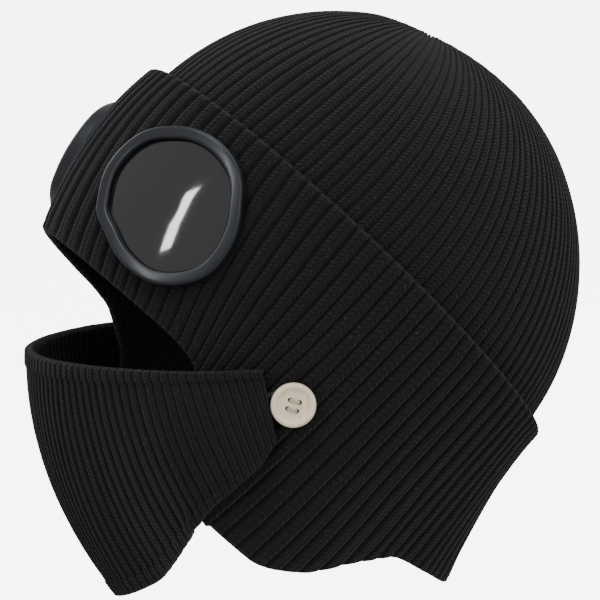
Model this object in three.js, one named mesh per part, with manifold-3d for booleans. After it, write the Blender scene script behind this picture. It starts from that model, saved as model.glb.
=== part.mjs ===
// A knitted aviator hat: a ribbed crown, a deep ribbed cuff with ear and nape flaps, two
// goggles worn on the brow, and a knitted face mask that buttons to the cuff on both sides.
// Millimetres. The wearer faces -Y, the wearer's left is +X and up is +Z.
// The origin is the inside top of the crown, where the head bears.
import * as THREE from 'three';
import { mergeVertices } from 'three/addons/utils/BufferGeometryUtils.js';
import Module from 'manifold-3d';

// Head form inside the knit
const head_half_width = 82;
const head_half_length = 109;
const crown_height = 110;

// Crown
const crown_wall = 3;
const crown_ribs = 108;
const crown_rib_relief = 0.45;
const crown_tuck = 22;
const crown_tuck_in = 1.4;
const apex_tilt = 29.8;
const gather_half_angle = 10;
const flow_tilt = 50;
const gather_dip = 3;
const gather_width = 0.13;

// Fold line, where the cuff starts: a ring in a plane tipped back from level
const fold_tilt = 44.6;
const fold_rise = 7.7;

// Cuff
const cuff_wall = 5.2;
const cuff_ribs = 96;
const cuff_rib_relief = 0.7;
const layer_gap = 0.35;
const fold_round = 2.4;
const hem_round = 1.6;
const brow_drop = 77;
const flap_drop = 132;
const nape_drop = 70;
const cheek_tuck = 20;
const brow_bow = 3;
const nape_flare = 17;
const outset_power = 1.9;

// Face mask, hung from the buttons at both ends
const mask_wall = 4;
const mask_depth = 92;
const mask_height = 104;
const mask_button_reach = 14.3;
const mask_button_rise = 9;
const mask_end_angle = 72;
const mask_nose_power = 1.3;
const mask_bulge = 10;
const mask_slant = 0.04;
const mask_band_relief = 0.9;
const mask_band_height = 6;
const mask_edge_round = 1.4;
const mask_rest_gap = 1.1;
const mask_ease_start = 0.45;
const mask_ease_hem = 0.02;
const mask_ease_fade = 0.08;
const mask_settle_start = 0.7;

// Goggles
const goggle_half_size = 32.5;
const goggle_rim_width = 5.5;
const goggle_rim_height = 6;
const goggle_curve_radius = 105;
const goggle_angle = 34;
const goggle_share = 0.53;
const goggle_bevel = 1.3;
const goggle_shift_side = 1.4;
const goggle_shift_up = -1.8;
const lens_recess = 2.6;
const lens_thickness = 2;
const lens_dome = 1.6;
const part_gap = 0.3;

// Buttons and their thread
const button_diameter = 18;
const button_thickness = 3.6;
const button_ring_share = 0.82;
const button_dish_share = 0.66;
const button_edge_round = 1.1;
const button_ring_fall = 0.25;
const button_dish_depth = 1;
const button_hole_diameter = 2.1;
const button_hole_ring = 2.56;
const button_turn = 17;
const button_angle = 87.5;
const button_share = 0.58;
const thread_diameter = 1.3;
const shank_diameter = 3.4;
const loop_cord_diameter = 1.8;
const loop_half_length = 8.5;
const loop_half_width = 4.8;
const loop_shift = 2.6;

// How finely the knit is faceted
const crown_rows = 8;
const crown_plain_rows = 3;
const crown_row_spread = 0.95;
const cuff_rows = 6;
const mask_columns = 34;
const mask_rows = 6;
const goggle_steps = 32;
const lens_ring_shares = [0.4, 0.75, 1];
const lens_back_share = 0.5;
const button_steps = 16;
const loop_steps = 14;
const cord_sides = 6;
const strand_sides = 5;
const post_sides = 8;

// The hem of the cuff, by the angle of each rib at the fold.
// flap: share of the way from the brow or nape drop to the flap drop
// lean: degrees that the rib turns back on its way down
// tuck: share of the cheek tuck, flare: share of the nape flare, bow: share of the brow bow
const hem_rows = [
  { angle: 0, flap: 0, lean: 0, tuck: 0.45, flare: 0, bow: 1 },
  { angle: 15, flap: 0, lean: 6, tuck: 0.6, flare: 0, bow: 1 },
  { angle: 30, flap: 0, lean: 9, tuck: 0.7, flare: 0, bow: 0.6 },
  { angle: 45, flap: 0, lean: 9, tuck: 0.7, flare: 0, bow: 0 },
  { angle: 55, flap: 0.02, lean: 8, tuck: 0.75, flare: 0, bow: 0 },
  { angle: 65, flap: 0.12, lean: 5, tuck: 0.9, flare: 0, bow: 0 },
  { angle: 75, flap: 0.26, lean: 2, tuck: 1.0, flare: 0, bow: 0 },
  { angle: 85, flap: 0.6, lean: -1, tuck: 1.1, flare: 0, bow: 0 },
  { angle: 95, flap: 0.84, lean: 0, tuck: 1.0, flare: 0, bow: 0 },
  { angle: 105, flap: 0.83, lean: 3, tuck: 0.8, flare: 0, bow: 0 },
  { angle: 115, flap: 0.68, lean: 5, tuck: 0.6, flare: 0, bow: 0 },
  { angle: 125, flap: 0.36, lean: 6, tuck: 0.35, flare: 0, bow: 0 },
  { angle: 135, flap: 0.16, lean: 5, tuck: 0.15, flare: 0, bow: 0 },
  { angle: 150, flap: 0.08, lean: 3, tuck: 0, flare: 0.3, bow: 0 },
  { angle: 165, flap: 0.03, lean: 1, tuck: 0, flare: 0.76, bow: 0 },
  { angle: 180, flap: 0, lean: 0, tuck: 0, flare: 1, bow: 0 },
];
const flap_angle = 95;

// The lower edge of the face mask, from the chin (0) to the buttoned end (1).
// side: share of the half width, back: share of the depth behind the nose,
// fall: share of the height below the top edge
const mask_hem_rows = [
  { across: 0, side: 0, back: 0.38, fall: 1.0 },
  { across: 0.2, side: 0.12, back: 0.4, fall: 0.97 },
  { across: 0.36, side: 0.3, back: 0.5, fall: 0.88 },
  { across: 0.48, side: 0.57, back: 0.52, fall: 0.72 },
  { across: 0.61, side: 0.81, back: 0.55, fall: 0.55 },
  { across: 0.75, side: 0.9, back: 0.665, fall: 0.43 },
  { across: 0.9, side: 0.955, back: 0.78, fall: 0.33 },
  { across: 1, side: 0.98, back: 0.835, fall: 0.25 },
];

// The rim's outline: its radius as a share of the goggle's half size, by the angle
// from the outer side of the goggle, counted up and over
const goggle_rows = [
  { angle: -180, radius: 0.95 },
  { angle: -150, radius: 0.86 },
  { angle: -120, radius: 0.9 },
  { angle: -90, radius: 0.985 },
  { angle: -60, radius: 1.01 },
  { angle: -30, radius: 0.965 },
  { angle: 0, radius: 0.945 },
  { angle: 30, radius: 1.005 },
  { angle: 60, radius: 1.0 },
  { angle: 90, radius: 0.99 },
  { angle: 120, radius: 1.03 },
  { angle: 150, radius: 1.01 },
  { angle: 180, radius: 0.95 },
];

const knit_black = { color: 0x131315, roughness: 0.95, metalness: 0 };
const rim_grey = { color: 0x2c2f33, roughness: 0.38, metalness: 0.55 };
const lens_dark = { color: 0x0b0d10, roughness: 0.06, metalness: 0.1 };
const wood_cream = { color: 0xe9cfa4, roughness: 0.55, metalness: 0 };
const thread_beige = { color: 0xd9bd92, roughness: 0.85, metalness: 0 };

const radians = THREE.MathUtils.degToRad;
const degrees = THREE.MathUtils.radToDeg;
const across_head = new THREE.Vector3(1, 0, 0);

// Smooth value of one column of a table; the slope at a row never overshoots its neighbours
function tableValue(rows, key, column, at) {
  const last = rows.length - 2;
  let i = 0;
  while (i < last && at > rows[i + 1][key]) i += 1;
  const secant = (k) =>
    (rows[k + 1][column] - rows[k][column]) / (rows[k + 1][key] - rows[k][key]);
  const slope = (k) => {
    if (k === 0 || k === rows.length - 1) return 0;
    const before = secant(k - 1);
    const after = secant(k);
    return before * after <= 0 ? 0 : (2 * before * after) / (before + after);
  };
  const span = rows[i + 1][key] - rows[i][key];
  const t = THREE.MathUtils.clamp((at - rows[i][key]) / span, 0, 1);
  const start = rows[i][column] * (1 + 2 * t) * (1 - t) ** 2 + slope(i) * span * t * (1 - t) ** 2;
  const end = rows[i + 1][column] * t * t * (3 - 2 * t) + slope(i + 1) * span * t * t * (t - 1);
  return start + end;
}

// Level-to-upright unit vectors of a plane tipped back by an angle in radians
const tipped = (angle) => new THREE.Vector3(0, Math.sin(angle), Math.cos(angle));
const fold_axis = tipped(radians(fold_tilt));
const fold_front = new THREE.Vector3(0, -Math.cos(radians(fold_tilt)), Math.sin(radians(fold_tilt)));
const head_centre = new THREE.Vector3(0, 0, crown_wall - crown_height);
const head_size = new THREE.Vector3(head_half_width, head_half_length, crown_height);

// Unit direction of a point of the fold ring, angle 0 at the front and 90 degrees on the left
function ringDirection(angle) {
  const rise = fold_rise / crown_height;
  const reach = Math.sqrt(1 - rise * rise);
  return fold_axis.clone().multiplyScalar(rise)
    .addScaledVector(fold_front, reach * Math.cos(angle))
    .addScaledVector(across_head, reach * Math.sin(angle));
}

// Evenly spaced rib number as a share of the turn, to the angle that spaces ribs evenly
function ribAngle(share) {
  const turn = 2 * Math.PI * share;
  const stretch = (head_half_length - head_half_width) / (head_half_length + head_half_width);
  return turn + (stretch / 2) * Math.sin(2 * turn);
}

// Point of the crown, share 0 at the gather line, 1 at the fold and more under the cuff
function crownPoint(angle, share, lift) {
  const gather = apex_tilt - gather_half_angle * Math.cos(angle);
  const aim = tipped(radians(gather + (flow_tilt - gather) * Math.min(share, 1)));
  const ring = ringDirection(angle);
  const turn = aim.angleTo(ring);
  const direction = aim.multiplyScalar(Math.sin((1 - share) * turn) / Math.sin(turn))
    .addScaledVector(ring, Math.sin(share * turn) / Math.sin(turn));
  const dip = gather_dip * Math.exp(-((share / gather_width) ** 2));
  return direction.clone().multiply(head_size).addScaledVector(direction, lift - dip).add(head_centre);
}

// Point of the cuff, share 0 at the fold and 1 at the hem, lifted from the head form.
// over is how far the point lies past the hem, or above the fold where it is negative
function cuffPoint(angle, share, lift, over = 0) {
  const turn = THREE.MathUtils.euclideanModulo(angle + Math.PI, 2 * Math.PI) - Math.PI;
  const side = turn < 0 ? -1 : 1;
  const rib = Math.abs(degrees(turn));
  const value = (column) => tableValue(hem_rows, 'angle', column, rib);
  const short_drop = rib < flap_angle ? brow_drop : nape_drop;
  const drop = short_drop + (flap_drop - short_drop) * value('flap');
  const leant = radians(rib + value('lean') * share ** 1.7);
  const outset = nape_flare * value('flare') - cheek_tuck * value('tuck');
  const bow = brow_bow * value('bow') * 4 * share * (1 - share);
  const ring = ringDirection(leant);
  const outward = fold_front.clone().multiplyScalar(Math.cos(leant) * head_half_width)
    .addScaledVector(across_head, Math.sin(leant) * head_half_length).normalize();
  const point = ring.clone().multiply(head_size).addScaledVector(ring, lift)
    .addScaledVector(outward, outset * share ** outset_power + bow)
    .addScaledVector(fold_axis, -drop * share - over)
    .add(head_centre);
  point.x *= side;
  return point;
}

const cuff_inside = crown_rib_relief + layer_gap;
const cuff_outside = cuff_inside + cuff_wall;
const cuff_crest = cuff_outside + cuff_rib_relief;
const share_limit = 1;

// Where a straight line meets the ribs' crests on the cuff, from a guess: how far along the
// line and at which angle and share of the cuff, or nothing if the line misses it
function reachCuff(start, direction, angle_guess, share_guess) {
  const found = new THREE.Vector3(angle_guess, share_guess, 0);
  const step = 1e-4;
  const longest = new THREE.Vector3(0.4, 0.4, head_half_length);
  for (let pass = 0; pass < 16; pass += 1) {
    const here = cuffPoint(found.x, found.y, cuff_crest);
    const by_angle = cuffPoint(found.x + step, found.y, cuff_crest).sub(here).divideScalar(step);
    const by_share = cuffPoint(found.x, found.y + step, cuff_crest).sub(here).divideScalar(step);
    const miss = start.clone().addScaledVector(direction, found.z).sub(here);
    if (miss.length() < 1e-3) return { share: found.y, distance: found.z };
    const slopes = new THREE.Matrix3().set(
      by_angle.x, by_share.x, -direction.x,
      by_angle.y, by_share.y, -direction.y,
      by_angle.z, by_share.z, -direction.z,
    );
    const move = miss.applyMatrix3(slopes.invert());
    found.add(move.clamp(longest.clone().negate(), longest));
    found.y = THREE.MathUtils.clamp(found.y, -share_limit, 1 + share_limit);
  }
  return null;
}

// A frame standing on the cuff at an angle in degrees and a share of its drop: outward normal,
// level side direction (backward on the left), up, and the direction round the head
function cuffFrame(angle, share, shift_side = 0, shift_up = 0) {
  const turn = radians(angle);
  const seat = cuffPoint(turn, share, cuff_crest);
  const step = 1e-3;
  const round = cuffPoint(turn + step, share, cuff_crest).sub(seat).normalize();
  const down = cuffPoint(turn, share + step, cuff_crest).sub(seat);
  const normal = new THREE.Vector3().crossVectors(down, round).normalize();
  const side = new THREE.Vector3(-normal.y, normal.x, 0).normalize();
  const up = new THREE.Vector3().crossVectors(normal, side);
  seat.addScaledVector(side, shift_side).addScaledVector(up, shift_up);
  const along = (p, q) => side.clone().multiplyScalar(p).addScaledVector(up, q);
  const place = (p, q, height) => seat.clone().add(along(p, q)).addScaledVector(normal, height);
  const ground = (p, q) => reachCuff(place(p, q, 0), normal, turn, share)?.distance ?? 0;
  return { seat, normal, side, up, round, along, place, ground };
}

// A closed body from rings of points, with equal or unequal counts; each ring joins the next
function bodyFromRings(rings, { loop = false, slit = false } = {}) {
  const positions = [];
  const starts = rings.map((ring) => {
    const start = positions.length / 3;
    ring.forEach((point) => positions.push(point.x, point.y, point.z));
    return start;
  });
  const index = [];
  const joins = loop ? rings.length : rings.length - 1;
  for (let row = 0; row < joins; row += 1) {
    const next = (row + 1) % rings.length;
    const many = rings[row].length;
    const few = rings[next].length;
    const total = Math.max(many, few);
    for (let step = 0; step < total; step += 1) {
      const a = starts[row] + Math.round((step * many) / total) % many;
      const b = starts[row] + Math.round(((step + 1) * many) / total) % many;
      const c = starts[next] + Math.round((step * few) / total) % few;
      const d = starts[next] + Math.round(((step + 1) * few) / total) % few;
      if (a !== b) index.push(a, c, b);
      if (c !== d) index.push(b, c, d);
    }
  }
  if (!loop && !slit) {
    index.push(...fan(starts[0], rings[0].length, false));
    index.push(...fan(starts[rings.length - 1], rings[rings.length - 1].length, true));
  }
  const geometry = new THREE.BufferGeometry();
  geometry.setAttribute('position', new THREE.Float32BufferAttribute(positions, 3));
  geometry.setIndex(index);
  return geometry;
}

function fan(start, count, turned) {
  const index = [];
  for (let i = 1; i < count - 1; i += 1) {
    index.push(start, start + (turned ? i + 1 : i), start + (turned ? i : i + 1));
  }
  return index;
}

// Same surface with every face turned over
function turnedOver(geometry) {
  const index = Array.from(geometry.index.array);
  for (let i = 0; i < index.length; i += 3) {
    [index[i + 1], index[i + 2]] = [index[i + 2], index[i + 1]];
  }
  geometry.setIndex(index);
  return geometry;
}

// Mirror image across the middle of the head, still facing outward
function mirrored(geometry) {
  const copy = geometry.clone();
  copy.scale(-1, 1, 1);
  return turnedOver(copy);
}

const wasm = await Module();
wasm.setup();

function toSolid(geometry) {
  const bare = new THREE.BufferGeometry();
  bare.setAttribute('position', geometry.getAttribute('position').clone());
  if (geometry.index) bare.setIndex(geometry.index.clone());
  const merged = mergeVertices(bare, 1e-3);
  return new wasm.Manifold(new wasm.Mesh({
    numProp: 3,
    vertProperties: new Float32Array(merged.getAttribute('position').array),
    triVerts: new Uint32Array(merged.index.array),
  }));
}

function toGeometry(solid) {
  const mesh = solid.getMesh();
  const geometry = new THREE.BufferGeometry();
  geometry.setAttribute('position', new THREE.Float32BufferAttribute(mesh.vertProperties, 3));
  geometry.setIndex(Array.from(mesh.triVerts));
  return geometry;
}

// The solid of a closed body, its faces turned over if they look inward
function facingOut(geometry) {
  const solid = toSolid(geometry);
  return solid.volume() > 0 ? solid : toSolid(turnedOver(geometry));
}

const hat = new THREE.Group();

function addPiece(name, geometry, look) {
  geometry.computeVertexNormals();
  const mesh = new THREE.Mesh(geometry, new THREE.MeshStandardMaterial(look));
  mesh.name = name;
  hat.add(mesh);
}

// Ring of points at rib crests and valleys in turn
function ribbedRing(ribs, relief, pointAt) {
  return Array.from({ length: 2 * ribs }, (_, i) =>
    pointAt(ribAngle(i / (2 * ribs)), i % 2 === 0 ? relief : -relief));
}

function plainRing(count, pointAt) {
  return Array.from({ length: count }, (_, i) => pointAt(ribAngle(i / count)));
}

// Crown: ribbed dome, gathered along a short line at the top, its edge tucked under the cuff
function crownGeometry() {
  const end = 1 + crown_tuck / (head_half_length * Math.PI / 2);
  const last = crown_rows - 1;
  const shares = Array.from({ length: crown_rows }, (_, i) => (i / last) ** crown_row_spread);
  const outer = shares.map((share, row) => {
    if (row < crown_plain_rows) return plainRing(crown_ribs, (angle) => crownPoint(angle, share, 0));
    return ribbedRing(crown_ribs, crown_rib_relief, (angle, relief) =>
      crownPoint(angle, share, relief));
  });
  outer.push(ribbedRing(crown_ribs, 0, (angle) => crownPoint(angle, end, -crown_tuck_in)));
  const inner_count = crown_ribs / 2;
  const edge = plainRing(inner_count, (angle) =>
    crownPoint(angle, end, -crown_tuck_in - crown_wall));
  const inner = shares.slice().reverse().map((share) =>
    plainRing(inner_count, (angle) => crownPoint(angle, share, -crown_wall)));
  return bodyFromRings([...outer, edge, ...inner], { slit: true });
}

// Cuff: ribbed double knit, rounded at the fold and the hem
function cuffGeometry() {
  const middle = (cuff_inside + cuff_outside) / 2;
  const outer = [];
  for (let row = 0; row <= cuff_rows; row += 1) {
    outer.push(ribbedRing(cuff_ribs, cuff_rib_relief, (angle, relief) =>
      cuffPoint(angle, row / cuff_rows, cuff_outside + relief)));
  }
  const crest = plainRing(cuff_ribs, (angle) => cuffPoint(angle, 0, middle, -fold_round));
  const hem = plainRing(cuff_ribs, (angle) => cuffPoint(angle, 1, middle, hem_round));
  const inner = [];
  for (let row = cuff_rows - 1; row >= 0; row -= 1) {
    inner.push(plainRing(cuff_ribs, (angle) => cuffPoint(angle, row / (cuff_rows - 1), cuff_inside)));
  }
  return bodyFromRings([crest, ...outer, hem, ...inner], { loop: true });
}

// Goggle: outline radius, and a place in it by turn, inset from the outline and height
// above a face that curves round the head
const goggle_frame = cuffFrame(goggle_angle, goggle_share, goggle_shift_side, goggle_shift_up);

function gogglePlace(turn, share, inset, height) {
  const half = degrees(THREE.MathUtils.euclideanModulo(turn + Math.PI, 2 * Math.PI) - Math.PI);
  const radius = goggle_half_size * tableValue(goggle_rows, 'angle', 'radius', half);
  const reach = (radius - inset) * share;
  const p = reach * Math.cos(turn);
  const q = reach * Math.sin(turn);
  const round = goggle_frame.along(p, q).dot(goggle_frame.round);
  const curve = round ** 2 / (2 * goggle_curve_radius);
  return {
    at: goggle_frame.place(p, q, height - curve),
    seat: goggle_frame.place(p, q, goggle_frame.ground(p, q) + part_gap),
  };
}

function goggleRing(pointAt) {
  return Array.from({ length: goggle_steps }, (_, i) => pointAt((2 * Math.PI * i) / goggle_steps));
}

// Rim: its back follows the cuff, its front is bevelled and curves round the head
function rimGeometry() {
  const inner_bevel = goggle_bevel / 2;
  const sections = goggleRing((turn) => [
    gogglePlace(turn, 1, 0, 0).seat,
    gogglePlace(turn, 1, 0, goggle_rim_height - goggle_bevel).at,
    gogglePlace(turn, 1, goggle_bevel, goggle_rim_height).at,
    gogglePlace(turn, 1, goggle_rim_width - inner_bevel, goggle_rim_height).at,
    gogglePlace(turn, 1, goggle_rim_width, goggle_rim_height - inner_bevel).at,
    gogglePlace(turn, 1, goggle_rim_width, 0).seat,
  ]);
  return toGeometry(facingOut(bodyFromRings(sections, { loop: true })));
}

// Lens: a shallow domed plate held inside the rim
function lensGeometry() {
  const edge = goggle_rim_width + part_gap;
  const face = goggle_rim_height - lens_recess;
  const ring = (share, height) => goggleRing((turn) => gogglePlace(turn, share, edge, height).at);
  const domed = (share) => ring(share, face + lens_dome * (1 - share ** 2));
  return toGeometry(facingOut(bodyFromRings([
    ...lens_ring_shares.map(domed),
    ring(1, face - lens_thickness),
    ring(lens_back_share, face - lens_thickness),
  ])));
}

// Button: a turned disc with a raised rounded ring, a dished middle and four holes
const button_frame = cuffFrame(button_angle, button_share);
const button_back = loop_cord_diameter + 2 * part_gap;
const dish_floor = button_thickness - button_dish_depth;
const hole_places = [0, 1, 2, 3].map((i) => {
  const turn = Math.PI / 4 + (i * Math.PI) / 2 - radians(button_turn);
  return [button_hole_ring * Math.cos(turn), button_hole_ring * Math.sin(turn)];
});

// Stands a shape made along +Z on the button's frame, at a height above the cuff
function onButtonFrame(geometry, height) {
  const { side, up, normal } = button_frame;
  const turn = new THREE.Matrix4().makeBasis(side, up, normal);
  return geometry.applyMatrix4(turn.setPosition(button_frame.place(0, 0, height)));
}

// An upright round post from one height to another, centred on a place
function post(bottom_radius, top_radius, from, to, [p, q] = [0, 0], sides = post_sides) {
  const shape = new THREE.CylinderGeometry(top_radius, bottom_radius, to - from, sides);
  return shape.rotateX(Math.PI / 2).translate(p, q, (from + to) / 2);
}

function buttonGeometry() {
  const radius = button_diameter / 2;
  const round = button_edge_round;
  const profile = [
    [0, 0],
    [radius - round, 0],
    [radius, round],
    [radius, button_thickness - round],
    [radius - round / 2, button_thickness - button_ring_fall],
    [radius * button_ring_share, button_thickness],
    [radius * (button_ring_share + button_dish_share) / 2, button_thickness - button_ring_fall],
    [radius * button_dish_share, dish_floor],
    [0, dish_floor],
  ].map(([across, along]) => new THREE.Vector2(across, along));
  let solid = facingOut(new THREE.LatheGeometry(profile, button_steps).rotateX(Math.PI / 2));
  const hole = button_hole_diameter / 2;
  hole_places.forEach((place) => {
    solid = solid.subtract(facingOut(post(hole, hole, -1, button_thickness + 1, place)));
  });
  return onButtonFrame(toGeometry(solid), button_back);
}

// Thread: a wound shank on the cuff, four strands through the holes and two stitches over them
function threadGeometry() {
  const strand = thread_diameter / 2;
  const wide = button_hole_ring + strand;
  const stitch_height = button_back + dish_floor + part_gap + strand;
  const ground = button_frame.ground(0, 0) + part_gap;
  let solid = facingOut(post(shank_diameter / 2, wide, ground, button_back - part_gap));
  const strand_foot = button_back - 2 * part_gap;
  hole_places.forEach((place) => {
    const length = post(strand, strand, strand_foot, stitch_height, place, strand_sides);
    solid = solid.add(facingOut(length));
  });
  [[1, 0], [2, 3]].forEach(([from, to]) => {
    const [p, q] = hole_places[from];
    const [r, t] = hole_places[to];
    const stitch = new THREE.CapsuleGeometry(strand, Math.hypot(r - p, t - q), 1, cord_sides)
      .rotateZ(Math.atan2(t - q, r - p) - Math.PI / 2)
      .translate((p + r) / 2, (q + t) / 2, stitch_height);
    solid = solid.add(facingOut(stitch));
  });
  return onButtonFrame(toGeometry(solid), 0);
}

// The mask's size and place at rest, from the buttons that hold it
const mask_end = radians(mask_end_angle);
const mask_half_width = (button_frame.seat.x + mask_wall + mask_rest_gap) / Math.sin(mask_end);
const mask_side_back = mask_button_reach - button_frame.seat.y
  - mask_depth * Math.cos(mask_end) ** mask_nose_power;
const mask_top_drop = -mask_button_rise - button_frame.seat.z;

// Outward level direction of the mask, across -1 to 1 from the right button to the left
function maskOutward(across) {
  const bend = mask_end * across;
  return new THREE.Vector3(Math.sin(bend), -Math.cos(bend), 0);
}

// Outer face of the mask before it is eased over the cuff, down 0 at the top and 1 at the hem
function maskForm(across, down) {
  const reach = Math.abs(across);
  const bend = mask_end * reach;
  const value = (column) => tableValue(mask_hem_rows, 'across', column, reach);
  const top = new THREE.Vector3(
    mask_half_width * Math.sin(bend),
    -mask_side_back - mask_depth * Math.cos(bend) ** mask_nose_power,
    -mask_top_drop,
  );
  const low = new THREE.Vector3(
    mask_half_width * value('side'),
    -mask_side_back - mask_depth * (1 - value('back')),
    -mask_top_drop - mask_height * value('fall'),
  );
  const bulge = 1 + (mask_bulge - 1) * (1 - reach ** 1.5);
  const point = top.lerp(low, down)
    .addScaledVector(maskOutward(reach), bulge * 4 * down * (1 - down));
  point.x *= Math.sign(across) || 1;
  point.z += mask_slant * point.x;
  return point;
}

// How far a point of the mask moves out so that its inner face rests over the cuff
function maskEase(across, down) {
  if (Math.abs(across) < mask_ease_start) return 0;
  const outward = maskOutward(across);
  const inner = maskForm(across, down).addScaledVector(outward, -mask_wall);
  const hit = reachCuff(inner, outward, Math.sign(across) * radians(button_angle), button_share);
  if (!hit) return 0;
  const hem = 1 + mask_ease_hem;
  const past_hem = THREE.MathUtils.smoothstep(hit.share, hem, hem + mask_ease_fade);
  const settled = THREE.MathUtils.smoothstep(Math.abs(across), mask_settle_start, 1);
  const ease = hit.distance + mask_rest_gap;
  return (ease > 0 ? ease : ease * settled) * (1 - past_hem);
}

// Closed section through the mask's wall along one upright line
function maskSection(across) {
  const band = mask_band_height / mask_height;
  const shares = [0, band];
  for (let row = 1; row < mask_rows; row += 1) {
    shares.push(band + (1 - 2 * band) * (row / mask_rows));
  }
  shares.push(1 - band, 1);
  const outward = maskOutward(across);
  const place = (down, lift, drop = 0) => maskForm(across, down)
    .addScaledVector(outward, maskEase(across, down) + lift)
    .add(new THREE.Vector3(0, 0, -drop));
  const outer = shares.map((down) => place(down, down === 0 || down === 1 ? mask_band_relief : 0));
  const inner = shares.slice().reverse().map((down) => place(down, -mask_wall));
  const crest = place(0, (mask_band_relief - mask_wall) / 2, -mask_edge_round);
  const hem = place(1, (mask_band_relief - mask_wall) / 2, mask_edge_round);
  return [crest, ...outer, hem, ...inner];
}

// Cord bent into a closed oval round the button's shank, lying on the cuff
function buttonLoop(frame, toward) {
  const rings = [];
  for (let i = 0; i < loop_steps; i += 1) {
    const turn = (2 * Math.PI * i) / loop_steps;
    const middle = frame.place(
      toward * (loop_shift + loop_half_length * Math.cos(turn)),
      loop_half_width * Math.sin(turn),
      part_gap + loop_cord_diameter / 2,
    );
    const across = frame.along(
      toward * loop_half_width * Math.cos(turn),
      loop_half_length * Math.sin(turn),
    ).normalize();
    rings.push(Array.from({ length: cord_sides }, (_, k) => {
      const bend = (2 * Math.PI * k) / cord_sides;
      return middle.clone()
        .addScaledVector(across, (loop_cord_diameter / 2) * Math.cos(bend))
        .addScaledVector(frame.normal, (loop_cord_diameter / 2) * Math.sin(bend));
    }));
  }
  return bodyFromRings(rings, { loop: true });
}

// Mask: one knitted wall with thicker bands along its edges and a button loop at each end
function maskGeometry() {
  const sections = [];
  for (let column = 0; column <= mask_columns; column += 1) {
    sections.push(maskSection(1 - (2 * column) / mask_columns));
  }
  const left = cuffFrame(button_angle, button_share);
  let solid = facingOut(bodyFromRings(sections));
  const loop = buttonLoop(left, -1);
  solid = solid.add(facingOut(loop)).add(facingOut(mirrored(loop)));
  return toGeometry(solid);
}

addPiece('crown', crownGeometry(), knit_black);
addPiece('cuff', cuffGeometry(), knit_black);
addPiece('face_mask', maskGeometry(), knit_black);

// Goggles on the brow: the left one and its mirror image
const rim = rimGeometry();
const lens = lensGeometry();
addPiece('goggle_rim_left', rim, rim_grey);
addPiece('goggle_rim_right', mirrored(rim), rim_grey);
addPiece('goggle_lens_left', lens, lens_dark);
addPiece('goggle_lens_right', mirrored(lens), lens_dark);

// Buttons on the cuff at both ends of the mask, sewn on with thread
const button = buttonGeometry();
const thread = threadGeometry();
addPiece('button_left', button, wood_cream);
addPiece('button_right', mirrored(button), wood_cream);
addPiece('button_thread_left', thread, thread_beige);
addPiece('button_thread_right', mirrored(thread), thread_beige);

export default hat;
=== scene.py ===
"""Knitted aviator hat: ribbed crown and cuff, goggles on the brow and a buttoned face mask.

Metres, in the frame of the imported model. The wearer faces -Y, the wearer's left is +X and
up is +Z. The origin is the inside top of the crown.
"""

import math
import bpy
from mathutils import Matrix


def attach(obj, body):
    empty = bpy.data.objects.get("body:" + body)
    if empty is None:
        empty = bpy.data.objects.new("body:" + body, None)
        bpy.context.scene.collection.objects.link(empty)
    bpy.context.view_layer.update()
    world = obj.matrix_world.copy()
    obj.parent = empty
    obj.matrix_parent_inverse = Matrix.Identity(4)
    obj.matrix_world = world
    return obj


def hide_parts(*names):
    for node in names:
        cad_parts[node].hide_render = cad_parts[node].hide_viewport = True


bl_info = {
    "name": "Knitted aviator hat",
    "version": (1, 0, 0),
    "blender": (4, 5, 0),
    "location": "View3D > Sidebar > Hat",
    "description": "Knits the hat round its frame, with goggles, buttons and a studio",
    "category": "Object",
}

import bmesh
import bpy
import numpy as np
from bpy.props import FloatProperty, FloatVectorProperty, IntProperty, PointerProperty
from mathutils import Matrix, Vector

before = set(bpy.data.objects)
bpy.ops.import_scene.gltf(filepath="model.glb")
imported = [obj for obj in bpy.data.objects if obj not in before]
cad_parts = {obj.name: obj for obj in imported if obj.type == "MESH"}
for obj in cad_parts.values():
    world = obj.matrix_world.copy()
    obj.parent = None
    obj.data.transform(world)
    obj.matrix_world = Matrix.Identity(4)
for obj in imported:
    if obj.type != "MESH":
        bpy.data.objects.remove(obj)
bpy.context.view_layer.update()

MM = 0.001

# Head form inside the knit, and the crown
HEAD_HALF_WIDTH = 82 * MM
HEAD_HALF_LENGTH = 109 * MM
CROWN_HEIGHT = 110 * MM
CROWN_WALL = 3 * MM
CROWN_TUCK = 22 * MM
CROWN_TUCK_IN = 1.4 * MM
CROWN_RIB_RELIEF = 0.45 * MM
APEX_TILT = 29.8
GATHER_HALF_ANGLE = 10
FLOW_TILT = 50
GATHER_DIP = 3 * MM
GATHER_WIDTH = 0.13
CROWN_RIB_LENGTH = 172 * MM
CROWN_ROWS = 92

# Fold line and cuff
FOLD_TILT = 44.6
FOLD_RISE = 7.7 * MM
CUFF_WALL = 5.2 * MM
CUFF_RIB_RELIEF = 0.7 * MM
LAYER_GAP = 0.35 * MM
FOLD_ROUND = 2.4 * MM
HEM_ROUND = 1.6 * MM
BROW_DROP = 77 * MM
FLAP_DROP = 132 * MM
NAPE_DROP = 70 * MM
CHEEK_TUCK = 20 * MM
CUFF_RIB_LENGTH = 90 * MM
BROW_BOW = 3 * MM
NAPE_FLARE = 17 * MM
OUTSET_POWER = 1.9
LEAN_POWER = 1.7
FLAP_ANGLE = 95

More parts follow.
